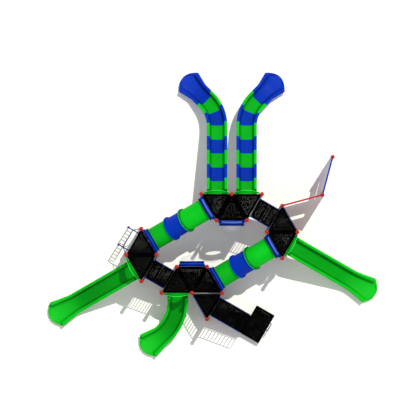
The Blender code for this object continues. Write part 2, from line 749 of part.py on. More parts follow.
def build_stairs(p):
    """Two short stairs between decks, and the transfer stair down from deck E."""
    goings = (STAIR_SPAN / 2, STAIR_SPAN / 2)
    rows = (0.0, 0.88, 0.93)
    place = edge_place(p, "a3", "a5")
    make_steps("stair_ac_steps", place, -120, DECK_A, DECK_C, goings)
    rails = make_rails("stair_ac_rails", place, -120, DECK_A, DECK_C, GAP, STAIR_SPAN - GAP, 9, goings,
                       rows)
    combine(rails, 'UNION', rail_brackets(DECK_C, STAIR_SPAN - 0.085, STAIR_SPAN + 0.005, (0.40, 1.08)))
    place = edge_place(p, "b3", "b4")
    make_steps("stair_bd_steps", place, -120, DECK_B, DECK_D, goings)
    rails = make_rails("stair_bd_rails", place, -120, DECK_B, DECK_D, GAP, STAIR_SPAN - GAP, 9, goings,
                       rows)
    combine(rails, 'UNION', rail_brackets(DECK_B, -0.005, 0.085, (0.24, 0.95)))
    place = edge_place(p, "d5", "e1")
    make_transfer_station("transfer_station", place, -120)
    make_rails("transfer_rails", place, -120, DECK_E, PLATFORM, GAP, TRANSFER_RAIL_END, 11,
               TRANSFER_GOINGS, (-0.10, -0.035, 0.0, 0.76, 0.80))


def build_posts(p):
    """A post at every corner of the grid and at the ends of the climbing walls."""
    tops = {"a": TOP_A, "b": TOP_B, "c": TOP_C, "d": TOP_D, "e": TOP_E, "w": TOP_WALL}
    for key, centre in p.items():
        top = TOP_WALL if key == "c1" else tops[key[0]]
        make_post("post_" + key, centre, top)


def centre_plan(slides):
    """Move the whole structure so that the middle of its plan box is the origin."""
    bpy.context.view_layer.update()
    points = [s.matrix_world @ v.co for s in slides for v in s.data.vertices]
    middle_x = (min(q.x for q in points) + max(q.x for q in points)) / 2
    middle_y = (min(q.y for q in points) + max(q.y for q in points)) / 2
    root = bpy.data.objects.new("play_structure", None)
    bpy.context.collection.objects.link(root)
    root.location = (-middle_x, -middle_y, 0)
    for obj in bpy.context.scene.objects:
        if obj.parent is None and obj is not root:
            obj.parent = root


def main():
    """Build every sub-part, then set the origin."""
    for obj in list(bpy.context.scene.objects):
        bpy.data.objects.remove(obj, do_unlink=True)
    p = plan_points()
    build_posts(p)
    build_decks(p)
    slides = build_slides(p)
    build_panels(p)
    make_tunnel("tunnel_1", edge_place(p, "a1", "a4"), 120, DECK_A, DECK_B)
    make_tunnel("tunnel_2", edge_place(p, "c2", "c4"), 120, DECK_C, DECK_D)
    build_stairs(p)
    make_rung_climber("rung_climber", edge_place(p, "b1", "b2"), 60, DECK_B)
    make_barrier("barrier_c", edge_place(p, "c1", "c3"), -60, DECK_C, 9)
    make_barrier("barrier_e", edge_place(p, "d4", "e1"), 120, DECK_E, 9)
    make_climbing_wall("climbing_wall_red", edge_place(p, "c1", "w1"), 15, WALL_1_SPAN, RED)
    make_climbing_wall("climbing_wall_blue", edge_place(p, "w1", "w2"), 75, WALL_2_SPAN, BLUE)
    centre_plan(slides)


main()
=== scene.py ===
"""Looks of the playground play structure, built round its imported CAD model. Metres, +Z up."""

from math import asin, atan2, cos, hypot, pi, radians, sin, sqrt, tan, tau

import bmesh
import bpy
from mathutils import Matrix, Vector
from mathutils.geometry import delaunay_2d_cdt


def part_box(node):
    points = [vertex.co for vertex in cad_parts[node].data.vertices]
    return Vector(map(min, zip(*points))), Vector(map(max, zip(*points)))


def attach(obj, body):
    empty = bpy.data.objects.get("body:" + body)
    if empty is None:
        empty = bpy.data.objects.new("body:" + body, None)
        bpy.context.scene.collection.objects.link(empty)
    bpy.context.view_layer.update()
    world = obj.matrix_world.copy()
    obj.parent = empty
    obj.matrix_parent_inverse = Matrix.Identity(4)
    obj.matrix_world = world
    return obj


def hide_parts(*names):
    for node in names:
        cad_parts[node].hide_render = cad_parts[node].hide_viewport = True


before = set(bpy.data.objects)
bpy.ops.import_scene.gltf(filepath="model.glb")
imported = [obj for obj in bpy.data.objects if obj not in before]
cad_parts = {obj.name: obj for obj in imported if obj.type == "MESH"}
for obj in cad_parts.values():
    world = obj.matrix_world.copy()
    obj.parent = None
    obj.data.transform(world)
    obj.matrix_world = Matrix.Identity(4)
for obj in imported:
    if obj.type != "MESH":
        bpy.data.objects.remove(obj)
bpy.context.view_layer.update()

# Dimensions of the CAD model
DECK = {"a": 1.981, "b": 1.524, "c": 1.524, "d": 1.067, "e": 0.914}
PLATFORM = 0.305
GAP = 0.0003
SIDE = 1.067
TUNNEL_SPAN = 2.43
STAIR_SPAN = 0.82
POST_R = 0.0635
CAP_R = 0.07
DECK_T = 0.057
RISER_T = 0.05
REACH = SIDE / 2 - POST_R - GAP
TROUGH_W = 0.72
TROUGH_RAIL = 0.26
BED_EXIT = 0.13
EXIT_W = 0.96
FLARE_POWER = 1.3
RAIL_START = 0.13
HOOD_BULGE = 0.142
HOOD_END = 0.05
HOOD_IN = 0.04
HOOD_SIDE_H = 0.8
HOOD_TOP_H = 1.02
DOOR_HALF = 0.26
DOOR_SPRING = 0.475
PANEL_HALF = 0.457
PANEL_OUT = 0.188
PANEL_IN_END = 0.03
PANEL_IN_MID = 0.055
PANEL_SIDE_H = 0.9
PANEL_TOP_H = 1.14
HOLE_R = 0.33
HOLE_Z = 0.62
TUBE_R = 0.39
TUBE_INNER_R = 0.36
FLANGE_R = 0.445
FLANGE_T = 0.028
TUNNEL_MIDDLE = 0.583
TUNNEL_TILT = radians(30.0)
WINDOW_R = 0.345
DOME_R = 0.4
DOME_OUT = 0.245
STEP_HALF = 0.34
STEP_T = 0.05
RAIL_T = 0.03
RAIL_SKIRT = 0.22
RAIL_UPPER = 0.2
RAIL_LOWER = 0.34
UPRIGHT_R = 0.016
CROSS_BAR = 0.04
TRANSFER_GOINGS = (0.49, 0.4, 0.4)
PLATFORM_START = 1.265
PLATFORM_END = 1.99
PLATFORM_WIDE = -0.766
PLATFORM_NARROW = 0.367
LEG_W = 0.06
TRANSFER_RAIL_END = 1.24
CLIMBER_HALF = 0.3475
CLIMBER_OUT = 0.41
CLIMBER_RUNG = 0.23
RUNG_PITCH = 0.266
WALL_T = 0.06
WALL_LOW = 0.3
WALL_HIGH = 2.97
SLOT_HALF = 0.525
SLOT_LOW = 1.4
SLOT_HIGH = 1.9

# Fine detail that the CAD model leaves out
SHEET = 0.004
SEAM = 0.0015
DECK_SEAM = 0.0005
HOLE_PITCH = SIDE / 22
HOLE_RADIUS = 0.0035
HOLE_SIDES = 12
BORDER = 0.068
TREAD_BORDER = 0.055
BOLT_R = 0.009
SMALL_BOLT_R = 0.006
BOLTS = 12
CAP_H = 0.045
CAP_DOME = 0.026
CLAMP_BAND = ((-0.002, -0.022), (0.0035, -0.022), (0.005, -0.019), (0.005, 0.019), (0.0035, 0.022),
              (-0.002, 0.022))
UNDER_DECK = DECK_T + 0.035
LUG_MIDDLES = (0.155, 0.755)
LUG_H = 0.07
WALL_BOLTS = (0.5, 1.2, 2.1, 2.8)
RISER_PLATE = 0.016
RAIL_PLATE = 0.012
HANDHOLD_X = (-0.45, -0.17)
HANDHOLD_H = 0.32
NOSE_RAIL = 0.045
FOLD = 0.003
SHARP_ANGLE = radians(32.0)

# Heights of lower rail, upper rail and plate over a stair's sill, and of a barrier's foot, rail and top
STAIR_LINES = (-0.012, 0.915, -0.05)
TRANSFER_LINES = (-0.017, 0.785, -0.1)
BARRIER_LINES = (0.0, 0.195, 0.99)

# Shares of the full colour: how far it drifts at random, the painted light that brightens a slide's tip, the
# painted shade that darkens its inner walls, and how much less painted shade the blue beds take
DRIFT = 0.08
LIT_TIP_SHARE = 1.1
LIT_TIP_LIFT = 0.005
WALL_SHADE_SHARE = 0.72
BLUE_EXTRA = 0.1

# Light and view
SUN_TRAVEL = (-0.248, -0.396, -1.0)
SUN_STRENGTH = 2.75
SUN_COLOUR = (1.0, 0.99, 0.84)
SUN_WIDTH = radians(0.3)
SKY_STRENGTH = 0.66
SKY_COLOUR = (1.0, 0.972, 0.985, 1.0)
FLOOR_COLOUR = (0.95, 0.95, 0.95, 1.0)
FLOOR_REACH = 60.0
VIEW_SPAN = 14.6
VIEW_SHIFT = (0.2387, -0.4914, 20.0)

UP = Vector((0.0, 0.0, 1.0))


def centre_of(node):
    """Plan centre of a CAD node, on the ground."""
    low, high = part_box(node)
    return Vector(((low.x + high.x) / 2, (low.y + high.y) / 2, 0.0))


POSTS = {name[5:]: centre_of(name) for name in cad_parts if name.startswith("post_")}
TOPS = {key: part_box("post_" + key)[1].z for key in POSTS}


class Edge:
    """Axes of a deck edge: x along it, y outward and z up, from the middle between two posts."""

    def __init__(self, start, end, turn):
        angle = radians(turn)
        self.middle = (POSTS[start] + POSTS[end]) / 2
        self.along = Vector((cos(angle), sin(angle), 0.0))
        self.out = Vector((-sin(angle), cos(angle), 0.0))

    def __call__(self, x, y, z):
        return self.middle + self.along * x + self.out * y + UP * z


def polar(radius, angle):
    """Flat point at a radius and an angle."""
    return radius * cos(angle), radius * sin(angle)


class Shape:
    """A mesh in the making: corners, faces, and the number of each face's material."""

    def __init__(self):
        self.corners = []
        self.faces = []
        self.tags = []

    def add(self, corners, faces, tag=0):
        base = len(self.corners)
        self.corners += corners
        for face in faces:
            self.faces.append([base + i for i in face])
            self.tags.append(tag)

    def loft(self, rings, tag=0, cyclic=False, tones=None):
        """Skin closed rings of equal count, with end caps unless the rings run in a loop.

        Tones gives the material of a face by the numbers of its ring and of its side.
        """
        count = len(rings[0])
        faces = []
        steps = len(rings) if cyclic else len(rings) - 1
        first = len(self.tags)
        for k in range(steps):
            low = k * count
            high = (k + 1) % len(rings) * count
            for i in range(count):
                j = (i + 1) % count
                faces.append((low + i, low + j, high + j, high + i))
        if not cyclic:
            faces += [range(count), range((len(rings) - 1) * count, len(rings) * count)]
        self.add([point for ring in rings for point in ring], faces, tag)
        if tones:
            for number in range(steps * count):
                self.tags[first + number] = tones(number // count, number % count)

    def turned(self, profile, sides, place, tag=0):
        """Turn a profile of (radius, height) about its axis, a zero radius closing it to a point."""
        corners, starts = [], []
        for radius, height in profile:
            count = 1 if radius == 0 else sides
            starts.append((len(corners), count))
            corners += [place(*polar(radius, tau * k / sides), height) for k in range(count)]
        faces = []
        for (low, n), (high, m) in zip(starts, starts[1:]):
            for k in range(sides):
                j = (k + 1) % sides
                face = (low + k % n, low + j % n, high + j % m, high + k % m)
                faces.append(tuple(dict.fromkeys(face)))
        for start, n in (starts[0], starts[-1]):
            if n > 1:
                faces.append(range(start, start + n))
        self.add(corners, faces, tag)

    def ring(self, profile, sides, place):
        """Turn a closed profile of (radius, height) about its axis."""
        self.loft([[place(*polar(r, tau * k / sides), h) for r, h in profile] for k in range(sides)],
                  cyclic=True)

    def box(self, low, high, place, tag=0, bevel=0.002):
        """A box between two corners, its edges cut back."""
        b = min(bevel, *((h - l) / 3 for l, h in zip(low, high)))
        rings = []
        for z, cut in ((low[2], b), (low[2] + b, 0.0), (high[2] - b, 0.0), (high[2], b)):
            x0, x1 = low[0] + cut, high[0] - cut
            y0, y1 = low[1] + cut, high[1] - cut
            outline = [(x0 + b, y0), (x1 - b, y0), (x1, y0 + b), (x1, y1 - b),
                       (x1 - b, y1), (x0 + b, y1), (x0, y1 - b), (x0, y0 + b)]
            rings.append([place(x, y, z) for x, y in outline])
        self.loft(rings, tag)

    def tube(self, points, radius, sides):
        """A round bar along a line of points, with softened ends."""
        points = [Vector(p) for p in points]
        head = (points[1] - points[0]).normalized()
        tail = (points[-1] - points[-2]).normalized()
        soft = radius * 0.25
        line = [(points[0], 0.75), (points[0] + head * soft, 1.0), *((p, 1.0) for p in points[1:-1]),
                (points[-1] - tail * soft, 1.0), (points[-1], 0.75)]
        side = head.orthogonal().normalized()
        rings = []
        for k, (point, scale) in enumerate(line):
            before = line[max(k - 1, 0)][0]
            after = line[min(k + 1, len(line) - 1)][0]
            ahead = (after - before).normalized()
            side = (side - ahead * side.dot(ahead)).normalized()
            other = ahead.cross(side)
            rings.append([point + (side * cos(a) + other * sin(a)) * radius * scale
                          for a in (tau * (i + 0.5) / sides for i in range(sides))])
        self.loft(rings)

    def bolt(self, at, axis, radius=BOLT_R):
        """A domed bolt head on a washer, in the second material."""
        axis = Vector(axis).normalized()
        side = axis.orthogonal().normalized()
        other = axis.cross(side)
        profile = [(radius * 1.5, -0.001), (radius * 1.5, 0.0015), (radius, 0.002),
                   (radius * 0.9, 0.0045), (radius * 0.5, 0.007), (0, 0.008)]
        self.turned(profile, 10, lambda x, y, z: at + side * x + other * y + axis * z, 1)

    def plate(self, outline, holes, place, low, high):
        """A flat sheet with a convex or notched outline and round holes right through it."""
        flat = [Vector(p) for p in outline]
        owner = [-1] * len(flat)
        edges = [(i, (i + 1) % len(flat)) for i in range(len(flat))]
        for number, (u, v) in enumerate(holes):
            base = len(flat)
            for k in range(HOLE_SIDES):
                x, y = polar(HOLE_RADIUS, tau * (k + 0.5) / HOLE_SIDES)
                flat.append(Vector((u + x, v + y)))
                owner.append(number)
                edges.append((base + k, base + (k + 1) % HOLE_SIDES))
        spots, _, triangles, origin, _, _ = delaunay_2d_cdt(flat, edges, [], 1, 1e-7)
        owners = [owner[o[0]] if o else -1 for o in origin]
        solid = []
        for triangle in triangles:
            own = {owners[i] for i in triangle}
            middle = sum((spots[i] for i in triangle), Vector((0.0, 0.0))) / 3
            if len(own) > 1 or own == {-1} and inside(middle, outline):
                solid.append(tuple(triangle))
        count = len(spots)
        corners = [place(p.x, p.y, high) for p in spots] + [place(p.x, p.y, low) for p in spots]
        faces = solid + [tuple(count + i for i in reversed(t)) for t in solid]
        border = {}
        for triangle in solid:
            for k in range(3):
                a, b = triangle[k], triangle[(k + 1) % 3]
                if border.pop((b, a), None) is None:
                    border[a, b] = True
        faces += [(a, b, count + b, count + a) for a, b in border]
        self.add(corners, faces)


def inside(point, outline):
    """Whether a flat point lies inside an outline."""
    hit = False
    for (x0, y0), (x1, y1) in zip(outline, list(outline[1:]) + [outline[0]]):
        if (y0 > point.y) != (y1 > point.y):
            if point.x < (x1 - x0) * (point.y - y0) / (y1 - y0) + x0:
                hit = not hit
    return hit


def hole_grid(outline, margin, origin, turn=0.0):
    """Hole centres in staggered rows, all at least a margin inside a convex outline."""
    xs, ys = zip(*outline)
    reach = hypot(max(xs) - min(xs), max(ys) - min(ys))
    row = HOLE_PITCH * sin(radians(60))
    count = int(reach / row) + 2
    right, up = polar(1.0, turn)
    found = []
    for j in range(-count, count + 1):
        for i in range(-count, count + 1):
            x = (i + 0.5 * (j % 2)) * HOLE_PITCH
            y = j * row
            u = origin[0] + x * right - y * up
            v = origin[1] + x * up + y * right
            if all(depth(u, v, a, b) > margin for a, b in zip(outline, outline[1:] + outline[:1])):
                found.append((u, v))
    return found


def depth(u, v, a, b):
    """Distance of a point to the left of the line from a to b."""
    length = hypot(b[0] - a[0], b[1] - a[1])
    return ((b[0] - a[0]) * (v - a[1]) - (b[1] - a[1]) * (u - a[0])) / length


def material(name, colour, scale, roughness, grain, grain_scale, metallic=0.0, alpha=1.0, specular=0.5,
             wear=0.0, tip=None):
    """A surface whose colour and gloss drift a little, over a fine moulded or sprayed grain.

    Tip holds a point, the brighter colour painted there as painted light, and how far it reaches.
    """
    made = bpy.data.materials.new(name)
    made.use_nodes = True
    nodes = made.node_tree.nodes
    link = made.node_tree.links.new
    shader = nodes["Principled BSDF"]
    for key, value in (("Metallic", metallic), ("Specular IOR Level", specular), ("Alpha", alpha)):
        shader.inputs[key].default_value = value
    spot = nodes.new("ShaderNodeTexCoord")

    def noise(size, detail):
        made_noise = nodes.new("ShaderNodeTexNoise")
        made_noise.inputs["Scale"].default_value = size
        made_noise.inputs["Detail"].default_value = detail
        link(spot.outputs["Object"], made_noise.inputs["Vector"])
        return made_noise.outputs["Fac"]

    def span(source, *limits):
        mapped = nodes.new("ShaderNodeMapRange")
        for key, value in zip(("From Min", "From Max", "To Min", "To Max"), limits):
            mapped.inputs[key].default_value = value
        link(source, mapped.inputs["Value"])
        return mapped.outputs["Result"]

    def blend(factor, under, over):
        mix = nodes.new("ShaderNodeMix")
        mix.data_type = "RGBA"
        link(factor, mix.inputs["Factor"])
        link(under, mix.inputs["A"])
        mix.inputs["B"].default_value = (*over, 1.0)
        return mix.outputs["Result"]

    ramp = nodes.new("ShaderNodeValToRGB")
    for stop, place, share in ((0, 0.32, 1 - DRIFT), (1, 0.68, 1 + DRIFT)):
        ramp.color_ramp.elements[stop].position = place
        ramp.color_ramp.elements[stop].color = (*(c * share for c in colour), 1.0)
    link(noise(scale, 5.0), ramp.inputs["Fac"])
    result = ramp.outputs["Color"]
    # painted light: the colour brightens towards the tip point
    if tip:
        reach = nodes.new("ShaderNodeVectorMath")
        reach.operation = "DISTANCE"
        link(spot.outputs["Object"], reach.inputs[0])
        reach.inputs[1].default_value = tip[0]
        result = blend(span(reach.outputs["Value"], 0.0, tip[2], 1.0, 0.0), result, tip[1])
    # lightens the colour along sharp convex edges
    if wear:
        edge = nodes.new("ShaderNodeNewGeometry").outputs["Pointiness"]
        result = blend(span(edge, 0.52, 0.62, 0.0, wear), result, [min(1.0, c * 1.5 + 0.04) for c in colour])
    link(result, shader.inputs["Base Color"])
    link(span(noise(scale * 4.3, 4.0), 0.3, 0.7, roughness * 0.82, min(1.0, roughness * 1.22)),
         shader.inputs["Roughness"])
    bump = nodes.new("ShaderNodeBump")
    bump.inputs["Strength"].default_value = grain
    bump.inputs["Distance"].default_value = 0.002
    link(noise(grain_scale, 3.0), bump.inputs["Height"])
    link(bump.outputs["Normal"], shader.inputs["Normal"])
    return made


def moulded(name, colour, share=1.0, tip=None, reach=1.0):
    """Moulded plastic, with a lower share of the full colour where shade is painted in, and a brighter tip
    where light is painted in.
    """
    if tip:
        tip = (tip, [min(1.0, c * LIT_TIP_SHARE + LIT_TIP_LIFT) for c in colour], reach)
    return material(name, [c * share for c in colour], 1.3, 0.52, 0.08, 260.0, specular=0.04, wear=0.05,
                    tip=tip)


FULL_GREEN = (0.0019, 0.4394, 0.013)
FULL_BLUE = (0.0009, 0.0296, 0.41)
GREEN = moulded("moulded_green", FULL_GREEN)
# painted highlight: a brighter green on the hoods' front rims
GREEN_RIM_HIGHLIGHT = moulded("moulded_green_rim", (0.013, 0.7215, 0.0416))
# painted shade: a dark green on the tube next to each tunnel flange
GREEN_FLANGE_SHADE = moulded("moulded_green_recess", FULL_GREEN, 0.34)
# painted shade: a darker green in the hoods' grooves behind the rim
GREEN_HOOD_SHADE = moulded("moulded_green_hood", FULL_GREEN, 0.78)
# painted shade: a darker green on the tunnels' lower elbows
GREEN_LOWER_SHADE = moulded("moulded_green_lower", FULL_GREEN, 0.76)
BLUE = moulded("moulded_blue", FULL_BLUE)
# painted highlight: a paler blue high on a panel's deck side where that side faces the sun
BLUE_PALE_HIGHLIGHT = moulded("moulded_blue_pale", (0.0925, 0.148, 0.47))
# painted highlight: a brighter blue along a panel's top ridge
BLUE_RIDGE_HIGHLIGHT = moulded("moulded_blue_ridge", (0.0037, 0.0463, 0.56))
# painted shade: a darker blue on a panel's shelf, and on its deck side where that faces away from the sun
BLUE_SHADE = moulded("moulded_blue_recess", FULL_BLUE, 0.42)
RED_SHEET = material("sheet_red", (0.407, 0.0139, 0.0111), 1.6, 0.5, 0.3, 140.0, specular=0.05, wear=0.03)
RED_COAT = material("powder_red", (0.3422, 0.0148, 0.0083), 3.0, 0.3, 0.12, 420.0, specular=0.08, wear=0.05)
NAVY_COAT = material("powder_blue", (0.0028, 0.0166, 0.172), 3.0, 0.32, 0.12, 420.0, specular=0.1, wear=0.05)
VINYL = material("deck_vinyl", (0.0007, 0.0007, 0.0007), 6.0, 0.62, 0.35, 320.0, specular=0.006, wear=0.003)
GREY_COAT = material("powder_grey", (0.5088, 0.5088, 0.518), 4.0, 0.42, 0.15, 420.0)
STEEL = material("zinc_bolt", (0.5, 0.5, 0.52), 30.0, 0.35, 0.1, 500.0, metallic=1.0)
CLEAR = material("clear_dome", (0.7, 0.7, 0.7), 2.0, 0.12, 0.03, 30.0, alpha=0.08, specular=0.06)


def placed(name, data):
    """A new object in the scene."""
    made = bpy.data.objects.new(name, data)
    bpy.context.scene.collection.objects.link(made)
    return made


def finish(name, shape, materials, slot=None, nodes=None):
    """Make a dressed piece of a shape, shade it, and let it ride in place of its CAD nodes."""
    nodes = nodes or [name]
    mesh = bpy.data.meshes.new("dressed_" + name)
    mesh.from_pydata([tuple(c) for c in shape.corners], [], shape.faces)
    for m in materials:
        mesh.materials.append(m)
    mesh.polygons.foreach_set("material_index", shape.tags)
    bm = bmesh.new()
    bm.from_mesh(mesh)
    bmesh.ops.recalc_face_normals(bm, faces=bm.faces)
    bm.to_mesh(mesh)
    bm.free()
    mesh.shade_smooth()
    mesh.set_sharp_from_angle(angle=SHARP_ANGLE)
    piece = placed("dressed_" + name, mesh)
    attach(piece, "root")
    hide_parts(*nodes)


def curve(points, radius, steps):
    """The points of a bent bar, with each inner corner rounded."""
    points = [Vector(p) for p in points]
    line = [points[0]]
    for before, corner, after in zip(points, points[1:], points[2:]):
        start = corner + (before - corner).normalized() * radius
        end = corner + (after - corner).normalized() * radius
        for k in range(steps + 1):
            t = k / steps
            line.append(start * (1 - t) ** 2 + corner * 2 * t * (1 - t) + end * t ** 2)
    line.append(points[-1])
    return line


def build_posts():
    """Round posts with pressed caps, and the clamps that hold decks, panels and rails."""
    for key, centre in POSTS.items():
        top = TOPS[key]
        shape = Shape()

        def place(x, y, z):
            return centre + Vector((x, y, z))

        dome = [(CAP_R * cos(a), top - CAP_DOME + CAP_DOME * sin(a))
                for a in (radians(12 * k) for k in range(8))]
        profile = [(POST_R, 0.0), (POST_R, 0.004), (POST_R, top - CAP_H - 0.003),
                   (CAP_R - 0.0015, top - CAP_H - 0.0025), (CAP_R, top - CAP_H)] + dome + [(0, top)]
        shape.turned(profile, 40, place)
        heights = []
        if key[0] in DECK:
            heights = [DECK[key[0]] + step for step in (-UNDER_DECK, *LUG_MIDDLES)]
        if key in ("c1", "w1", "w2"):
            heights += WALL_BOLTS
        if key in ("d4", "d5"):
            heights.append(DECK["e"] - UNDER_DECK)
        for height in heights:
            shape.ring([(POST_R + r, height + z) for r, z in CLAMP_BAND], 40, place)
        finish("post_" + key, shape, [RED_COAT], "post_paint")


def deck_outline(corners, cuts, inset):
    """Outline of a triangle cut back from its edges, and round the posts at its corners."""
    notch = POST_R + 0.0035 + inset
    outline = []
    for k in range(3):
        corner, after, before = corners[k], corners[(k + 1) % 3], corners[k - 1]
        on = (after - corner).normalized()
        back = (before - corner).normalized()
        first = asin(min(1.0, (cuts[k] + inset) / notch))
        last = radians(60) - asin(min(1.0, (cuts[k - 1] + inset) / notch))
        base = atan2(on.y, on.x)
        sign = 1 if on.x * back.y - on.y * back.x > 0 else -1
        for i in range(8):
            x, y = polar(notch, base + sign * (last + (first - last) * i / 7))
            outline.append((corner.x + x, corner.y + y))
    return outline


def folded_sheet(shape, outline, holes, place, height, skirt):
    """A perforated sheet with rounded edges folded down to a skirt, outline(inset) giving its corners."""
    shape.plate(outline(FOLD), holes, place, height - SHEET, height)
    fold = ((FOLD, 0.0), (0.0009, -0.0009), (0.0, -FOLD), (0.0, -skirt), (SHEET, -skirt), (SHEET, -SHEET))
    shape.loft([[place(u, v, height + z) for u, v in outline(inset)] for inset, z in fold], cyclic=True)


def deck_plate(shape, corners, height, cuts):
    """One perforated triangle with its folded edge."""
    middle = sum(corners, Vector()) / 3
    axis = (corners[1] - corners[0]).normalized()
    holes = hole_grid([(c.x, c.y) for c in corners], BORDER + max(cuts) * 0.4,
                      (middle.x, middle.y), atan2(axis.y, axis.x))
    holes = [h for h in holes if all((Vector((*h, 0)) - c).length > POST_R + BORDER for c in corners)]
    folded_sheet(shape, lambda inset: deck_outline(corners, cuts, inset), holes,
                 lambda u, v, w: Vector((u, v, w)), height, DECK_T)


def build_decks():
    """Five decks of perforated triangles, tied by strips under their seams, and the riser between two."""
    plans = {
        "a": ("a1 a4 a2", "a4 a5 a2", "a2 a5 a3"),
        "b": ("b1 b2 b3", "b2 b4 b3"),
        "c": ("c1 c2 c3", "c2 c4 c3"),
        "d": ("d1 d3 d4", "d1 d4 d2", "d2 d4 d5"),
        "e": ("d4 e1 d5",),
    }
    for key, triangles in plans.items():
        shape = Shape()
        names = [triangle.split() for triangle in triangles]
        for triangle in names:
            cuts = (DECK_SEAM, DECK_SEAM, RISER_T + 0.002 if key == "e" else DECK_SEAM)
            deck_plate(shape, [POSTS[k] for k in triangle], DECK[key], cuts)
        low = DECK[key] - DECK_T + 0.001
        for one, other in zip(names, names[1:]):
            start, end = (POSTS[k] for k in one if k in other)
            ahead = (end - start).normalized()
            reach = (end - start).length - POST_R - 0.012
            shape.box((POST_R + 0.012, -0.014, low), (reach, 0.014, low + 0.005),
                      lambda x, y, z: start + ahead * x + ahead.cross(UP) * y + UP * z)
        finish("deck_" + key, shape, [VINYL], "deck_coating")
    edge = Edge("d4", "d5", 180)
    shape = Shape()
    face = GAP + RISER_PLATE
    shape.box((-REACH, GAP, DECK["e"] + 0.004), (REACH, face, DECK["d"] + 0.003), edge, bevel=0.004)
    shape.box((-REACH, GAP, DECK["e"] - DECK_T), (REACH, RISER_T, DECK["e"] + 0.002), edge, tag=2)
    for x in (-0.38, 0.0, 0.38):
        shape.bolt(edge(x, face, DECK["e"] + 0.08), edge.out)
    finish("riser", shape, [GREY_COAT, STEEL, VINYL], "riser_paint", ["deck_riser"])


def bed_height(deck, s, end):
    """Height of a slide's bed at a plan distance: level, down one even slope, level again."""
    start, ease_in, ease_out = 0.1, 0.3, 0.5
    slope = (deck - BED_EXIT) / (end - start - (ease_in + ease_out) / 2)
    s = min(max(s, start), end) - start
    left = end - start - s
    drop = slope * (s - ease_in / 2)
    if s < ease_in:
        drop = slope * s * s / (2 * ease_in)
    if left < ease_out:
        drop = deck - BED_EXIT - slope * left * left / (2 * ease_out)
    return deck - drop


def slide_path(s, straight, radius, turn):
    """Plan point and heading of a slide that runs straight, turns on an arc, and runs on."""
    sign = 1 if turn >= 0 else -1
    turn = radians(abs(turn))
    arc = radius * turn
    swept = min(max(s - straight, 0.0), arc) / radius if radius else 0.0
    rest = max(s - straight - arc, 0.0)
    x = radius * (1 - cos(swept)) + rest * sin(swept)
    y = min(s, straight) + radius * sin(swept) + rest * cos(swept)
    return -sign * x, y, sign * swept


# Half of a slide's section, as places across and heights over the bed: from its middle over the rail, then
# back under the bed, or down to the ground by a share of the bed's height
SECTION_W = 0.7
SECTION = [(0, 0), (0.05, 0), (0.1, 0.001), (0.145, 0.004), (0.18, 0.014), (0.205, 0.03), (0.22, 0.052),
           (0.229, 0.085), (0.236, 0.13), (0.241, 0.175), (0.246, 0.208), (0.256, 0.232), (0.272, 0.25),
           (0.292, 0.2595), (0.312, 0.258), (0.331, 0.249), (0.344, 0.235), (0.35, 0.218), (0.35, 0.165),
           (0.346, 0.158), (0.338, 0.155), (0.318, 0.155), (0.31, 0.15), (0.306, 0.12)]
UNDER = [(0.298, 0.06), (0.288, 0.01), (0.275, -0.012), (0.245, -0.03), (0.205, -0.04), (0.1, -0.04),
         (0, -0.04)]
SKIRT = [(0.3, 0.06, 0), (0.294, 0, 0.3), (0.29, 0, 0.6), (0.286, 0, 0.97), (0.28, 0, 1), (0.1, 0, 1),
         (0, 0, 1)]
BED_SIDES = 4
WALL_SIDES = 10


def slide_tone(_, side):
    """Material number of a face of a slide: 1 in the bed, 2 on the inner walls, 0 on rims and outside; the
    bed and inner walls carry painted shade.
    """
    count = 2 * (len(SECTION) + len(UNDER)) - 2
    reach = min(side, count - 1 - side)
    return 1 if reach < BED_SIDES else 2 if reach < WALL_SIDES else 0


def slide_size(s, length, flare, lip):
    """Width of the trough and height of its rails at a station."""
    if s < RAIL_START + 0.05:
        t = min(max((s - RAIL_START + 0.01) / 0.03, 0.0), 1.0)
        return TROUGH_W, TROUGH_RAIL * sin(t * pi / 2)
    if s <= length:
        share = max(0.0, (s - length + flare) / flare)
        return TROUGH_W + (EXIT_W - TROUGH_W) * share ** FLARE_POWER, TROUGH_RAIL
    share = (s - length) / lip
    end = max(0.0, 1 - share / 0.1)
    return EXIT_W * sqrt(max(0.0, 1 - share / 1.004)), NOSE_RAIL + (TROUGH_RAIL - NOSE_RAIL) * end ** 2


def slide_ring(edge, s, deck, offset, path, length, end, foot, flare, lip):
    """One ring of a slide, square to its slope."""
    width, rail = slide_size(s, length, flare, lip)
    bed = bed_height(deck, s, end)
    slope = (bed - bed_height(deck, s + 0.01, end)) / 0.01
    lean = slope * min(1.0, max(0.0, (foot - s) / 0.3))
    k = width / SECTION_W
    r = rail / TROUGH_RAIL
    half = [(u * k, w * r) for u, w in SECTION]
    if s < foot:
        half += [(u * k, w * r if w > 0 else w) for u, w in UNDER]
    else:
        half += [(u * k, w * r - bed * down) for u, w, down in SKIRT]
    points = []
    for u, w in half + [(-u, w) for u, w in reversed(half[1:-1])]:
        along = s + w * lean
        x, y, heading = slide_path(along, *path)
        z = max(bed_height(deck, along, end) + w, 0.0)
        points.append(edge(offset + x + cos(heading) * u, y + sin(heading) * u, z))
    return points


# Where rings stand round a slide's nose, as shares of its lip, and round the start of its rails
NOSE_SHARES = (0.008, 0.02, 0.035, 0.055, 0.08, 0.11, 0.16, 0.23, 0.31, 0.4, 0.5, 0.6, 0.69, 0.77, 0.84, 0.9,
               0.945, 0.975, 0.993, 1.0)
RAIL_STEPS = (-0.01, -0.005, 0.001, 0.01, 0.02, 0.045)


def slide_stations(start, stop, length, lip):
    """Distances of the rings along a slide, from one joint to the next."""
    reach = min(stop, length) - start
    count = max(2, round(reach / 0.045))
    marks = [start + reach * k / count for k in range(count + 1)]
    if start < RAIL_START < stop:
        marks = [m for m in marks if not -0.03 < m - RAIL_START < 0.06]
        marks = sorted(marks + [RAIL_START + step for step in RAIL_STEPS])
    if stop > length:
        marks += [length + lip * share for share in NOSE_SHARES]
    return marks
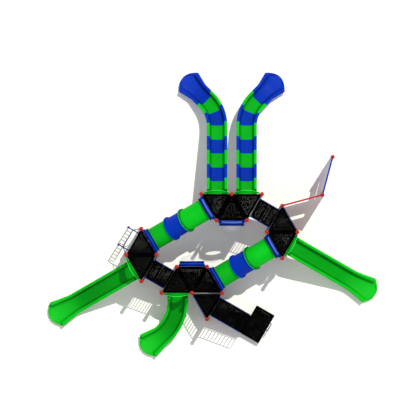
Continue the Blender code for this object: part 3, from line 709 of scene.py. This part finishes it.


# Name, share of the full colour in the bed (painted shade in the trough), reach of the painted light at the
# bright tip, deck edge and deck,
# then the form: offset along the edge, plan path, length, where the bed levels out, where the foot starts,
# flare and lip
TWIN = (4.28, 4.17, 4.0, 0.55, 0.263)
STRAIGHT = (9.0, 0, 0)
LIP = 0.279
SLIDES = (
    ("twin_left", 0.74, 1.1, Edge("a1", "a2", 0), "a", 0.023, (2.41, 1.24, 45), *TWIN),
    ("twin_right", 0.76, 1.1, Edge("a2", "a3", 0), "a", -0.008, (2.41, 1.24, -45), *TWIN),
    ("left", 0.62, 1.5, Edge("b2", "b4", 120), "b", -0.05, STRAIGHT, 3.14, 2.6, 2.55, 0.75, LIP),
    ("right", 0.7, 1.5, Edge("c3", "c4", -120), "c", -0.012, STRAIGHT, 3.19, 2.6, 2.55, 0.75, LIP),
    ("curved", 0.64, 1.5, Edge("d3", "d4", 180), "d", -0.034, (0.3, 1.547, -53.5), 2.24, 2.0, 1.95, 0.65,
     LIP),
)
FIRST_JOINT = 0.443
SECTION_PITCH = 0.489
SECTIONS = 8


def build_slides():
    """Moulded slides; the twins are bolted up from sections of two colours in turn."""
    for name, bed, reach, edge, key, *form in SLIDES:
        length, lip = form[2], form[-1]
        x, y, _ = slide_path(length + lip, *form[1])
        tip = edge(form[0] + x, y, BED_EXIT)
        joints = [GAP, length + lip]
        if name.startswith("twin"):
            joints[1:1] = [FIRST_JOINT + SECTION_PITCH * k for k in range(SECTIONS - 1)]
        shapes = [Shape(), Shape()]
        for k, (start, stop) in enumerate(zip(joints, joints[1:])):
            start += SEAM if k else 0.0
            stop -= SEAM if k < len(joints) - 2 else 0.0
            marks = slide_stations(start, stop, length, lip)
            shapes[k % 2].loft([slide_ring(edge, s, DECK[key], *form) for s in marks], tones=slide_tone)
        for shape, tint, rim, full, extra in ((shapes[0], "green", GREEN, FULL_GREEN, 0.0),
                                              (shapes[1], "blue", BLUE, FULL_BLUE, BLUE_EXTRA)):
            if shape.faces:
                title = "%s_%s" % (name, tint) if name.startswith("twin") else name
                # painted shade: bed and inner walls take darker shares of the full colour, and the bed
                # brightens towards the tip as painted light
                looks = [rim] + [moulded(title + part, full, (bed + extra) * share, tip, reach)
                                 for part, share in (("_bed", 1.0), ("_wall", WALL_SHADE_SHARE))]
                finish("slide_" + title, shape, looks, "plastic_" + tint, ["slide_" + name])


def wall_between(shape, inner, outer, section, surface, cyclic, tones=None):
    """A moulded wall between two outlines, its section of shares, depths and any lifts swept along them."""
    shape.loft([[surface(ui + (uo - ui) * f, vi + (vo - vi) * f, *step) for f, *step in section]
                for (ui, vi), (uo, vo) in zip(inner, outer)], 0, cyclic, tones)


HOOD_SECTION = [(0, 0.3), (0, 0.12), (0.02, 0), (0.11, 0), (0.15, 0, 0.012), (0.5, 0, 0.012),
                (0.85, 0, 0.012), (0.89, 0), (0.97, 0), (1, 0.08), (1, 0.2), (0.975, 0.26), (0.87, 0.3),
                (0.84, 0.36), (0.835, 0.6), (0.86, 0.68), (0.965, 0.72), (1, 0.78), (1, 0.92), (0.97, 1),
                (0.9, 1), (0.86, 1, -0.014), (0.5, 1, -0.014), (0.17, 1, -0.014), (0.13, 1), (0.02, 1),
                (0, 0.9), (0, 0.6)]
HOOD_RECESS = range(8, 16)
HOOD_RIM = range(16, 19)


def hood_tone(_, side):
    """Material number of a face of a hood: 2, painted shade, behind the front rim; 3, a painted highlight,
    on the rim.
    """
    return 2 if side in HOOD_RECESS else 3 if side in HOOD_RIM else 0


def build_hoods():
    """Arched hoods with a doorway over each slide's mouth."""
    legs, arc = 8, 28
    inner = [(-DOOR_HALF, DOOR_SPRING * k / legs) for k in range(legs)]
    outer = [(-REACH, (HOOD_SIDE_H - 0.04) * k / legs) for k in range(legs)]
    for k in range(arc + 1):
        t = k / arc
        x, rise = polar(DOOR_HALF, pi * (1 - t))
        inner.append((x, DOOR_SPRING + rise))
        u = -REACH * cos(pi * t)
        shy = 0.04 * max(0.0, 1 - min(t, 1 - t) * arc / 3) ** 2
        outer.append((u, HOOD_SIDE_H + (HOOD_TOP_H - HOOD_SIDE_H) * cos(pi / 2 * u / REACH) - shy))
    for line in (inner, outer):
        line += [(-u, v) for u, v in reversed(line[:legs])]
    for name, _, _, edge, key, *_ in SLIDES:
        deck = DECK[key]

        def surface(u, v, w, lift=0.0):
            middle = 1 - (u / REACH) ** 2
            back = GAP + HOOD_IN * middle
            front = HOOD_END + (HOOD_BULGE - HOOD_END) * middle
            return edge(u, back + (front - back) * w + lift * middle, deck + GAP + v)

        shape = Shape()
        wall_between(shape, inner, outer, HOOD_SECTION, surface, False, hood_tone)
        for side in (-1, 1):
            for z in LUG_MIDDLES:
                shape.bolt(edge(side * (REACH - 0.035), HOOD_END + 0.016, deck + z), edge.out)
        finish("hood_" + name, shape, [GREEN, STEEL, GREEN_HOOD_SHADE, GREEN_RIM_HIGHLIGHT], "plastic_green")


PANEL_SECTION = [(0, 0.3), (0, 0.08), (0.02, 0), (0.16, 0), (0.2, 0, 0.01), (0.76, 0, 0.01), (0.82, 0),
                 (0.96, 0), (0.99, 0.05), (1, 0.14), (1, 0.3), (0.985, 0.42), (0.93, 0.52), (0.8, 0.57),
                 (0.76, 0.62), (0.745, 0.72), (0.75, 0.84), (0.78, 0.88), (0.96, 0.9), (1, 0.93), (0.985, 1),
                 (0.84, 1), (0.8, 1, -0.012), (0.24, 1, -0.012), (0.2, 1, -0.004), (0.16, 1), (0.02, 1),
                 (0, 0.94), (0, 0.6)]
PANEL_PALE = range(5, 10)
PANEL_RIDGE = range(10, 13)
PANEL_RECESS = range(13, 20)
PANEL_TOP_RING = 31


def panel_tone(ring, side):
    """Material number of a face of a panel: 2 high on its deck side (a painted highlight on panels facing
    the sun, painted shade on the others), 3 on its shelf and low on its deck side (painted shade), 4 on its
    ridge (a painted highlight).
    """
    if side in PANEL_PALE:
        return 2 if abs(ring + 0.5 - PANEL_TOP_RING) < 8 else 3
    return 3 if side in PANEL_RECESS else 4 if side in PANEL_RIDGE else 0


def panel_outline():
    """Outer outline of a panel, from the middle of its foot round to the right."""
    half = PANEL_HALF
    rise = PANEL_TOP_H - PANEL_SIDE_H
    foot = -DECK_T
    points = [(half * k / 6, foot) for k in range(6)]
    points += [(half - 0.02, foot), (half - 0.006, foot + 0.006), (half, foot + 0.02)]
    points += [(half, foot + 0.02 + (PANEL_SIDE_H - 0.05 - foot - 0.02) * k / 8) for k in range(1, 9)]
    points += [(half - 0.006, PANEL_SIDE_H - 0.015), (half - 0.025, PANEL_SIDE_H + 0.012)]
    for k in range(13):
        u = (half - 0.05) * cos(pi / 2 * k / 12)
        points.append((u, PANEL_SIDE_H + rise * cos(pi / 2 * u / half)))
    return points + [(-u, v) for u, v in reversed(points[1:-1])]


def build_panel(edge, deck, hole):
    """Thick moulded panel round a mouth or window, with four lugs clamped to the posts."""
    def surface(u, v, w, lift=0.0):
        t = (u / PANEL_HALF) ** 2
        share = (v + DECK_T) / (PANEL_TOP_H + DECK_T)
        back = GAP + share * (PANEL_IN_MID + (PANEL_IN_END - PANEL_IN_MID) * t)
        return edge(u, max(back + (PANEL_OUT - back) * w + lift, GAP), deck + v)

    outer = panel_outline()
    inner = [(x, HOLE_Z + rise) for x, rise in (polar(hole, atan2(v - HOLE_Z, u)) for u, v in outer)]
    shape = Shape()
    wall_between(shape, inner, outer, PANEL_SECTION, surface, True, panel_tone)
    for side in (-1, 1):
        for middle in LUG_MIDDLES:
            x = sorted((side * (PANEL_HALF - 0.03), side * REACH))
            z = deck + middle
            shape.box((x[0], -0.02, z - LUG_H / 2), (x[1], 0.06, z + LUG_H / 2), edge, bevel=0.008)
            shape.bolt(edge(side * (REACH - 0.018), 0.06, z), edge.out)
    return shape


def panel_looks(edge):
    """Materials of a panel: its deck side takes a painted highlight where that side looks up the plan
    towards the sun, and painted shade where it does not.
    """
    return [BLUE, STEEL, BLUE_PALE_HIGHLIGHT if edge.out.y < 0 else BLUE_SHADE, BLUE_SHADE, BLUE_RIDGE_HIGHLIGHT]


def build_bubble(name, edge, deck):
    """Clear dome over a panel's window, in a clamping ring."""
    shape = build_panel(edge, deck, WINDOW_R)

    def place(x, y, z):
        return edge(x, PANEL_OUT + z, deck + HOLE_Z + y)

    shape.ring([(WINDOW_R + 0.004, -0.014), (DOME_R + 0.03, -0.014), (DOME_R + 0.03, 0.003),
                (DOME_R + 0.027, 0.005), (DOME_R - 0.01, 0.005), (DOME_R - 0.014, 0.002),
                (WINDOW_R + 0.004, 0.002)], 48, place)
    for k in range(BOLTS):
        shape.bolt(place(*polar(DOME_R + 0.015, tau * (k + 0.5) / BOLTS), 0.005), edge.out, SMALL_BOLT_R)
    finish(name, shape, panel_looks(edge), "plastic_blue")
    dome = Shape()
    steps = 12
    outer = [((DOME_R - 0.002) * cos(a), DOME_OUT * sin(a))
             for a in (pi / 2 * k / steps for k in range(steps))]
    shell = [(max(r - 0.005, 0), h - 0.005) for r, h in reversed(outer)]
    dome.ring(outer + [(0.004, DOME_OUT), (0.004, DOME_OUT - 0.005)] + shell, 48, place)
    finish(name + "_dome", dome, [CLEAR], nodes=[name])


def build_panels():
    """Panels with tunnel mouths and with bubble windows."""
    for key, edge in (("a", Edge("a1", "a4", 120)), ("b", Edge("b1", "b3", -60)),
                      ("c", Edge("c2", "c4", 120)), ("d", Edge("d2", "d5", -60))):
        shape = build_panel(edge, DECK[key], HOLE_R)
        finish("tunnel_panel_" + key, shape, panel_looks(edge), "plastic_blue")
    build_bubble("bubble_panel_a", Edge("a4", "a5", 180), DECK["a"])
    build_bubble("bubble_panel_d", Edge("d1", "d2", 0), DECK["d"])


TUBE_SIDES = 44
FLANGE_BOLT_R = TUBE_R + 0.034

# Step along the tube from the joint and radius, from the tube's outside over the flange to its bore
FLANGE_PROFILE = ((-FLANGE_T - 0.03, TUBE_R), (-FLANGE_T - 0.008, TUBE_R + 0.004),
                  (-FLANGE_T, TUBE_R + 0.014), (-FLANGE_T, FLANGE_R - 0.003), (-FLANGE_T + 0.003, FLANGE_R),
                  (-0.004, FLANGE_R), (-0.0015, FLANGE_R - 0.003), (-0.0015, TUBE_INNER_R + 0.003),
                  (-0.004, TUBE_INNER_R))


def tunnel_centres(length, drop):
    """Centre points and tilts down one elbow, from its level mouth to its sloping flange."""
    tilt = TUNNEL_TILT
    radius = (drop - TUNNEL_MIDDLE * tan(tilt)) / (2 * (1 - cos(tilt)))
    level = (length - TUNNEL_MIDDLE) / 2 - radius * sin(tilt)
    stations = [(0.0, 0.0, 0.0), (level * 0.5, 0.0, 0.0)]
    for k in range(9):
        t = tilt * k / 8
        stations.append((level + radius * sin(t), -radius * (1 - cos(t)), t))
    return stations


def tube_ring(centre, tilt, radius, sides=TUBE_SIDES, turn=0.0):
    """Ring of (x, y, z) round a centre (y, z), square to a line that falls at the tilt."""
    y, z = centre
    spots = (polar(radius, tau * (k + turn) / sides) for k in range(sides))
    return [(x, y + rise * sin(tilt), z + rise * cos(tilt)) for x, rise in spots]


def shifted(centre, tilt, step):
    """A centre moved along the line that falls at the tilt."""
    return centre[0] + step * cos(tilt), centre[1] - step * sin(tilt)


def build_tunnel(name, edge, high, low):
    """Crawl tunnel in three moulded lengths with bolted flanges."""
    start = PANEL_OUT + GAP
    length = TUNNEL_SPAN - 2 * start
    drop = high - low
    stations = tunnel_centres(length, drop)

    def from_top(x, y, z):
        return edge(x, start + y, high + HOLE_Z + z)

    def from_foot(x, y, z):
        return edge(-x, start + length - y, low + HOLE_Z - z)

    y, z, tilt = stations[-1]
    flange = (y, z)
    # the lower elbow takes a darker green as painted shade
    for part, place, green in (("upper", from_top, GREEN), ("lower", from_foot, GREEN_LOWER_SHADE)):
        marks = [((step, 0.0), 0.0, TUBE_R + more)
                 for step, more in ((0.0, 0.012), (0.01, 0.012), (0.014, 0.004), (0.03, 0.0))]
        marks += [((p, q), t, TUBE_R) for p, q, t in stations[1:-1]]
        back = len(marks) + 2
        marks += [(shifted(flange, tilt, step), tilt, radius) for step, radius in FLANGE_PROFILE]
        marks += [((p, q), t, TUBE_INNER_R) for p, q, t in reversed(stations[:-1])]
        shape = Shape()
        # painted shade on the rings next to the flange's back
        shape.loft([[place(*p) for p in tube_ring(c, t, r)] for c, t, r in marks], cyclic=True,
                   tones=lambda ring, _: 2 if back - 3 < ring <= back else 0)
        axis = place(0, -cos(tilt), sin(tilt)) - place(0, 0, 0)
        for spot in tube_ring(shifted(flange, tilt, -FLANGE_T), tilt, FLANGE_BOLT_R, BOLTS, 0.5):
            shape.bolt(place(*spot), axis)
        finish("%s_%s" % (name, part), shape, [green, STEEL, GREEN_FLANGE_SHADE], "plastic_green")
    last = (length - y, -drop - z)
    marks = [(shifted(flange, tilt, -step), radius) for step, radius in reversed(FLANGE_PROFILE[:-1])]
    marks += [(shifted(last, tilt, step), radius) for step, radius in FLANGE_PROFILE]
    marks.append((shifted(flange, tilt, 0.004), TUBE_INNER_R))
    shape = Shape()
    shape.loft([[from_top(*p) for p in tube_ring(c, tilt, r)] for c, r in marks], cyclic=True)
    finish(name + "_middle", shape, [BLUE], "plastic_blue")


def tread(shape, edge, y0, y1, x0, x1, height, skirt):
    """Perforated tread or platform with folded edges."""
    def outline(inset):
        return [(x0 + inset, y0 + inset), (x1 - inset, y0 + inset), (x1 - inset, y1 - inset),
                (x0 + inset, y1 - inset)]

    holes = hole_grid(outline(FOLD), TREAD_BORDER, ((x0 + x1) / 2, (y0 + y1) / 2))
    folded_sheet(shape, outline, holes, edge, height, skirt)


def flight(shape, edge, high, low, goings):
    """Treads and closed risers of one flight."""
    rise = (high - low) / (len(goings) + 1)
    half = STEP_HALF - 0.002
    y = 0.0
    for k, going in enumerate(goings):
        level = high - rise * (k + 1)
        start = y + 0.042 if k == 0 else y
        stop = y + going - (0.0012 if k < len(goings) - 1 else 0.002)
        tread(shape, edge, start, stop, -STEP_HALF, STEP_HALF, level, STEP_T)
        riser = GAP if k == 0 else y - 0.01
        shape.box((-half, riser, level - STEP_T * 0.9),
                  (half, riser + (0.04 if k == 0 else 0.006), level + rise - STEP_T), edge)
        y += going
    shape.box((-half, y - 0.012, low - STEP_T + 0.002), (half, y - 0.006, low + rise - STEP_T), edge)


def barred(shape, place, start, end, foot, lower, upper, bars, bend):
    """A bent tube round upright bars on a lower rail, between three lines of height along it."""
    first, last = start + RAIL_T / 2, end - RAIL_T / 2
    shape.tube(curve([place(first, foot(first)), place(first, upper(first)), place(last, upper(last)),
                      place(last, foot(last))], *bend), RAIL_T / 2, 12)
    shape.tube([place(t, lower(t)) for t in (first, last)], RAIL_T / 2 * 0.9, 10)
    for k in range(1, bars - 1):
        t = first + (last - first) * k / (bars - 1)
        shape.tube([place(t, lower(t)), place(t, upper(t))], UPRIGHT_R, 8)


def rail_side(shape, edge, x, end, bars, bottom, lower, upper, top):
    """One side rail: a plate along the steps, and bars in a bent tube."""
    rings = []
    for y in (GAP, GAP + 0.003, end - 0.003, end):
        bevel = 0.0015 if y in (GAP, end) else 0.0
        low, high = bottom(y) + bevel, top(y) - bevel
        x0, x1 = x - RAIL_PLATE / 2 + bevel, x + RAIL_PLATE / 2 - bevel
        rings.append([edge(x0, y, low), edge(x1, y, low), edge(x1, y, high), edge(x0, y, high)])
    shape.loft(rings)
    barred(shape, lambda y, z: edge(x, y, z), GAP, end, lambda y: bottom(y) + 0.02, lower, upper, bars,
           (0.045, 7))


def stair_rails(edge, high, low, end, bars, goings, heights):
    """Both side rails of a flight, joined by cross bars under its treads."""
    span = sum(goings)
    slope = (high - low) / span
    sill_slope = slope - (RAIL_LOWER - RAIL_UPPER) / span
    lines = [lambda y, more=more: high + RAIL_UPPER - sill_slope * y + more for more in heights]
    shape = Shape()
    for side in (-1, 1):
        rail_side(shape, edge, side * (STEP_HALF + GAP + RAIL_T / 2), end, bars,
                  lambda y: high - slope * y - RAIL_SKIRT + 0.002, *lines)
    rise = (high - low) / (len(goings) + 1)
    reach, half = STEP_HALF + RAIL_T / 2, CROSS_BAR / 2
    y = 0.0
    for k, going in enumerate(goings):
        top = high - rise * (k + 1) - STEP_T - GAP
        middle = y + going * 0.4
        shape.box((-reach, middle - half, top - CROSS_BAR), (reach, middle + half, top), edge, bevel=0.004)
        for side in (-1, 1):
            shape.bolt(edge(side * (reach + 0.006), middle, top - half), edge.along * side)
        y += going
    return shape


def build_stairs():
    """Two short stairs with ties to the posts, and the transfer stair with its platform."""
    goings = (STAIR_SPAN / 2, STAIR_SPAN / 2)
    upper = Edge("a3", "a5", -120)
    for name, edge, high, low, tie, levels in (
            ("stair_ac", upper, DECK["a"], DECK["c"], STAIR_SPAN - 0.04,
             (DECK["c"] + 0.4, DECK["c"] + 1.08)),
            ("stair_bd", Edge("b3", "b4", -120), DECK["b"], DECK["d"], 0.04,
             (DECK["b"] + 0.24, DECK["b"] + 0.95))):
        shape = Shape()
        flight(shape, edge, high, low, goings)
        finish(name + "_steps", shape, [VINYL], "deck_coating")
        shape = stair_rails(edge, high, low, STAIR_SPAN - GAP, 9, goings, STAIR_LINES)
        for side in (-1, 1):
            for level in levels:
                shape.tube([edge(side * x, tie, level + 0.025)
                            for x in (STEP_HALF + RAIL_T / 2, REACH + 0.008)], 0.022, 12)
        finish(name + "_rails", shape, [NAVY_COAT, STEEL], "rail_paint")
    plate = Shape()
    plate.box((-REACH, GAP, DECK["a"] - 0.12), (REACH, 0.014, DECK["a"] + 0.002), upper, bevel=0.003)
    finish("stair_ac_riser", plate, [GREY_COAT], "riser_paint", ["stair_ac_steps"])
    edge = Edge("d5", "e1", -120)
    shape = Shape()
    flight(shape, edge, DECK["e"], PLATFORM, TRANSFER_GOINGS)
    tread(shape, edge, PLATFORM_START, PLATFORM_END, PLATFORM_WIDE, PLATFORM_NARROW, PLATFORM, 0.045)
    for x in (PLATFORM_WIDE + 0.05, PLATFORM_NARROW - 0.05 - LEG_W):
        for y in (PLATFORM_START + 0.06, PLATFORM_END - 0.05 - LEG_W):
            shape.box((x, y, 0.006), (x + LEG_W, y + LEG_W, PLATFORM - 0.01), edge, bevel=0.005)
            shape.box((x - 0.02, y - 0.02, 0.0), (x + LEG_W + 0.02, y + LEG_W + 0.02, 0.008), edge)
            for step in (-0.008, LEG_W + 0.008):
                shape.bolt(edge(x + step, y + step, 0.008), UP, SMALL_BOLT_R)
    finish("transfer_station", shape, [VINYL, STEEL], "deck_coating")
    shape = Shape()
    y = PLATFORM_END + 0.05
    foot = PLATFORM - 0.022
    leg = ((PLATFORM_END - 0.02, foot), (y, foot), (y, PLATFORM + HANDHOLD_H))
    left, right = HANDHOLD_X
    line = [edge(left, *spot) for spot in leg] + [edge(right, *spot) for spot in reversed(leg)]
    shape.tube(curve(line, 0.035, 8), 0.016, 14)
    finish("handhold", shape, [NAVY_COAT], "rail_paint", ["transfer_station"])
    shape = stair_rails(edge, DECK["e"], PLATFORM, TRANSFER_RAIL_END, 11, TRANSFER_GOINGS, TRANSFER_LINES)
    finish("transfer_rails", shape, [NAVY_COAT, STEEL], "rail_paint")


def build_barriers():
    """Upright-bar barriers on two deck edges."""
    y = 0.018
    for name, edge, deck in (("barrier_c", Edge("c1", "c3", -60), DECK["c"]),
                             ("barrier_e", Edge("d4", "e1", 120), DECK["e"])):
        shape = Shape()
        shape.box((-REACH, y - 0.005, deck - DECK_T), (REACH, y + 0.005, deck + 0.17), edge)
        lines = [lambda _, level=level: deck + level for level in BARRIER_LINES]
        barred(shape, lambda x, z: edge(x, y, z), -REACH, REACH, *lines, 9, (0.05, 8))
        for x in (-0.36, 0.36):
            shape.bolt(edge(x, y + 0.005, deck - 0.02), edge.out)
        finish(name, shape, [NAVY_COAT, STEEL], "rail_paint")


WALL_SECTION = [(0, 0.3), (0, 0.12), (0.03, 0), (0.13, 0), (0.16, 0, 0.006), (0.84, 0, 0.006), (0.87, 0),
                (0.97, 0), (1, 0.12), (1, 0.88), (0.97, 1), (0.87, 1), (0.84, 1, -0.006), (0.16, 1, -0.006),
                (0.13, 1), (0.03, 1), (0, 0.88), (0, 0.7)]


def rounded(half, low, high, radius):
    """Outline of a rectangle with rounded corners."""
    points = []
    for side, z, base in ((1, low + radius, -90), (1, high - radius, 0), (-1, high - radius, 90),
                          (-1, low + radius, 180)):
        for k in range(7):
            x, rise = polar(radius, radians(base + 15 * k))
            points.append((side * (half - radius) + x, z + rise))
    return points


def build_walls():
    """Climbing walls: textured sheets with a rolled border and a long slot."""
    for name, edge, span, colour, slot in (
            ("climbing_wall_red", Edge("c1", "w1", 15), 1.464, RED_SHEET, "plastic_red"),
            ("climbing_wall_blue", Edge("w1", "w2", 75), 1.383, BLUE, "plastic_blue")):
        half = span / 2 - POST_R - GAP

        def surface(u, v, w, lift=0.0):
            return edge(u, -WALL_T / 2 + WALL_T * w + lift, v)

        shape = Shape()
        wall_between(shape, rounded(SLOT_HALF, SLOT_LOW, SLOT_HIGH, 0.05),
                     rounded(half, WALL_LOW, WALL_HIGH, 0.035), WALL_SECTION, surface, True)
        for side in (-1, 1):
            for z in WALL_BOLTS:
                for face in (-1, 1):
                    shape.bolt(edge(side * (half - 0.03), face * WALL_T / 2, z), edge.out * face)
                shape.box((side * half - 0.02, -WALL_T / 2 - 0.004, z - 0.03),
                          (side * half + 0.02, WALL_T / 2 + 0.004, z + 0.03), edge, tag=1, bevel=0.004)
        finish(name, shape, [colour, STEEL], slot)


def build_climber():
    """Bent legs from the deck edge to the ground, with set-back rungs and stays to the posts."""
    edge = Edge("b1", "b2", 60)
    level = DECK["b"] - DECK_T / 2
    shape = Shape()
    for x in (-CLIMBER_HALF, CLIMBER_HALF):
        leg = [edge(x, GAP, level), edge(x, CLIMBER_OUT, level), edge(x, CLIMBER_OUT, 0.0)]
        shape.tube(curve(leg, 0.09, 10), 0.02, 16)
        shape.box((x - 0.045, GAP, level - 0.026), (x + 0.045, 0.007, level + 0.026), edge)
        shape.turned([(0.045, 0.0), (0.045, 0.006), (0.021, 0.009)], 24,
                     lambda a, b, c, x=x: edge(x + a, CLIMBER_OUT + b, c))
        for dx in (-0.034, 0.034):
            shape.bolt(edge(x + dx, 0.007, level), edge.out, SMALL_BOLT_R)
    for k in range(5):
        z = RUNG_PITCH * (k + 1)
        rung = [edge(side * CLIMBER_HALF, y, z) for side, y in ((-1, CLIMBER_OUT), (-1, CLIMBER_RUNG),
                                                                (1, CLIMBER_RUNG), (1, CLIMBER_OUT))]
        shape.tube(curve(rung, 0.05, 7), 0.016, 12)
    for side in (-1, 1):
        start = edge(side * CLIMBER_HALF, CLIMBER_RUNG, level)
        post = edge(side * SIDE / 2, 0, level)
        end = post + (start - post).normalized() * POST_R
        shape.tube([start, end], 0.014, 12)
    finish("rung_climber", shape, [NAVY_COAT, STEEL], "rail_paint")


def build_stage():
    """Pale floor, a soft-edged sun, an even sky and the photograph's camera."""
    scene = bpy.context.scene
    floor_mesh = bpy.data.meshes.new("floor")
    floor_mesh.from_pydata([(x * FLOOR_REACH, y * FLOOR_REACH, -0.001)
                            for x, y in ((-1, -1), (1, -1), (1, 1), (-1, 1))], [], [(0, 1, 2, 3)])
    floor = placed("floor", floor_mesh)
    pale = bpy.data.materials.new("pale_floor")
    pale.use_nodes = True
    shader = pale.node_tree.nodes["Principled BSDF"]
    shader.inputs["Base Color"].default_value = FLOOR_COLOUR
    shader.inputs["Roughness"].default_value = 1.0
    shader.inputs["Specular IOR Level"].default_value = 0.0
    floor_mesh.materials.append(pale)
    sun = bpy.data.lights.new("sun", "SUN")
    sun.energy = SUN_STRENGTH
    sun.color = SUN_COLOUR
    sun.angle = SUN_WIDTH
    lamp = placed("sun", sun)
    lamp.rotation_mode = "QUATERNION"
    lamp.rotation_quaternion = Vector(SUN_TRAVEL).to_track_quat("-Z", "Y")
    world = bpy.data.worlds.new("sky")
    world.use_nodes = True
    sky = world.node_tree.nodes["Background"]
    sky.inputs["Color"].default_value = SKY_COLOUR
    sky.inputs["Strength"].default_value = SKY_STRENGTH
    scene.world = world
    scene.view_settings.view_transform = "Standard"
    lens = bpy.data.cameras.new("camera")
    lens.type = "ORTHO"
    lens.ortho_scale = VIEW_SPAN
    lens.clip_end = 100.0
    camera = placed("camera", lens)
    camera.location = (POSTS["a1"].x + VIEW_SHIFT[0], POSTS["a1"].y + VIEW_SHIFT[1], VIEW_SHIFT[2])
    scene.camera = camera


build_stage()
build_posts()
build_decks()
build_slides()
build_hoods()
build_panels()
build_tunnel("tunnel_1", Edge("a1", "a4", 120), DECK["a"], DECK["b"])
build_tunnel("tunnel_2", Edge("c2", "c4", 120), DECK["c"], DECK["d"])
build_stairs()
build_barriers()
build_walls()
build_climber()
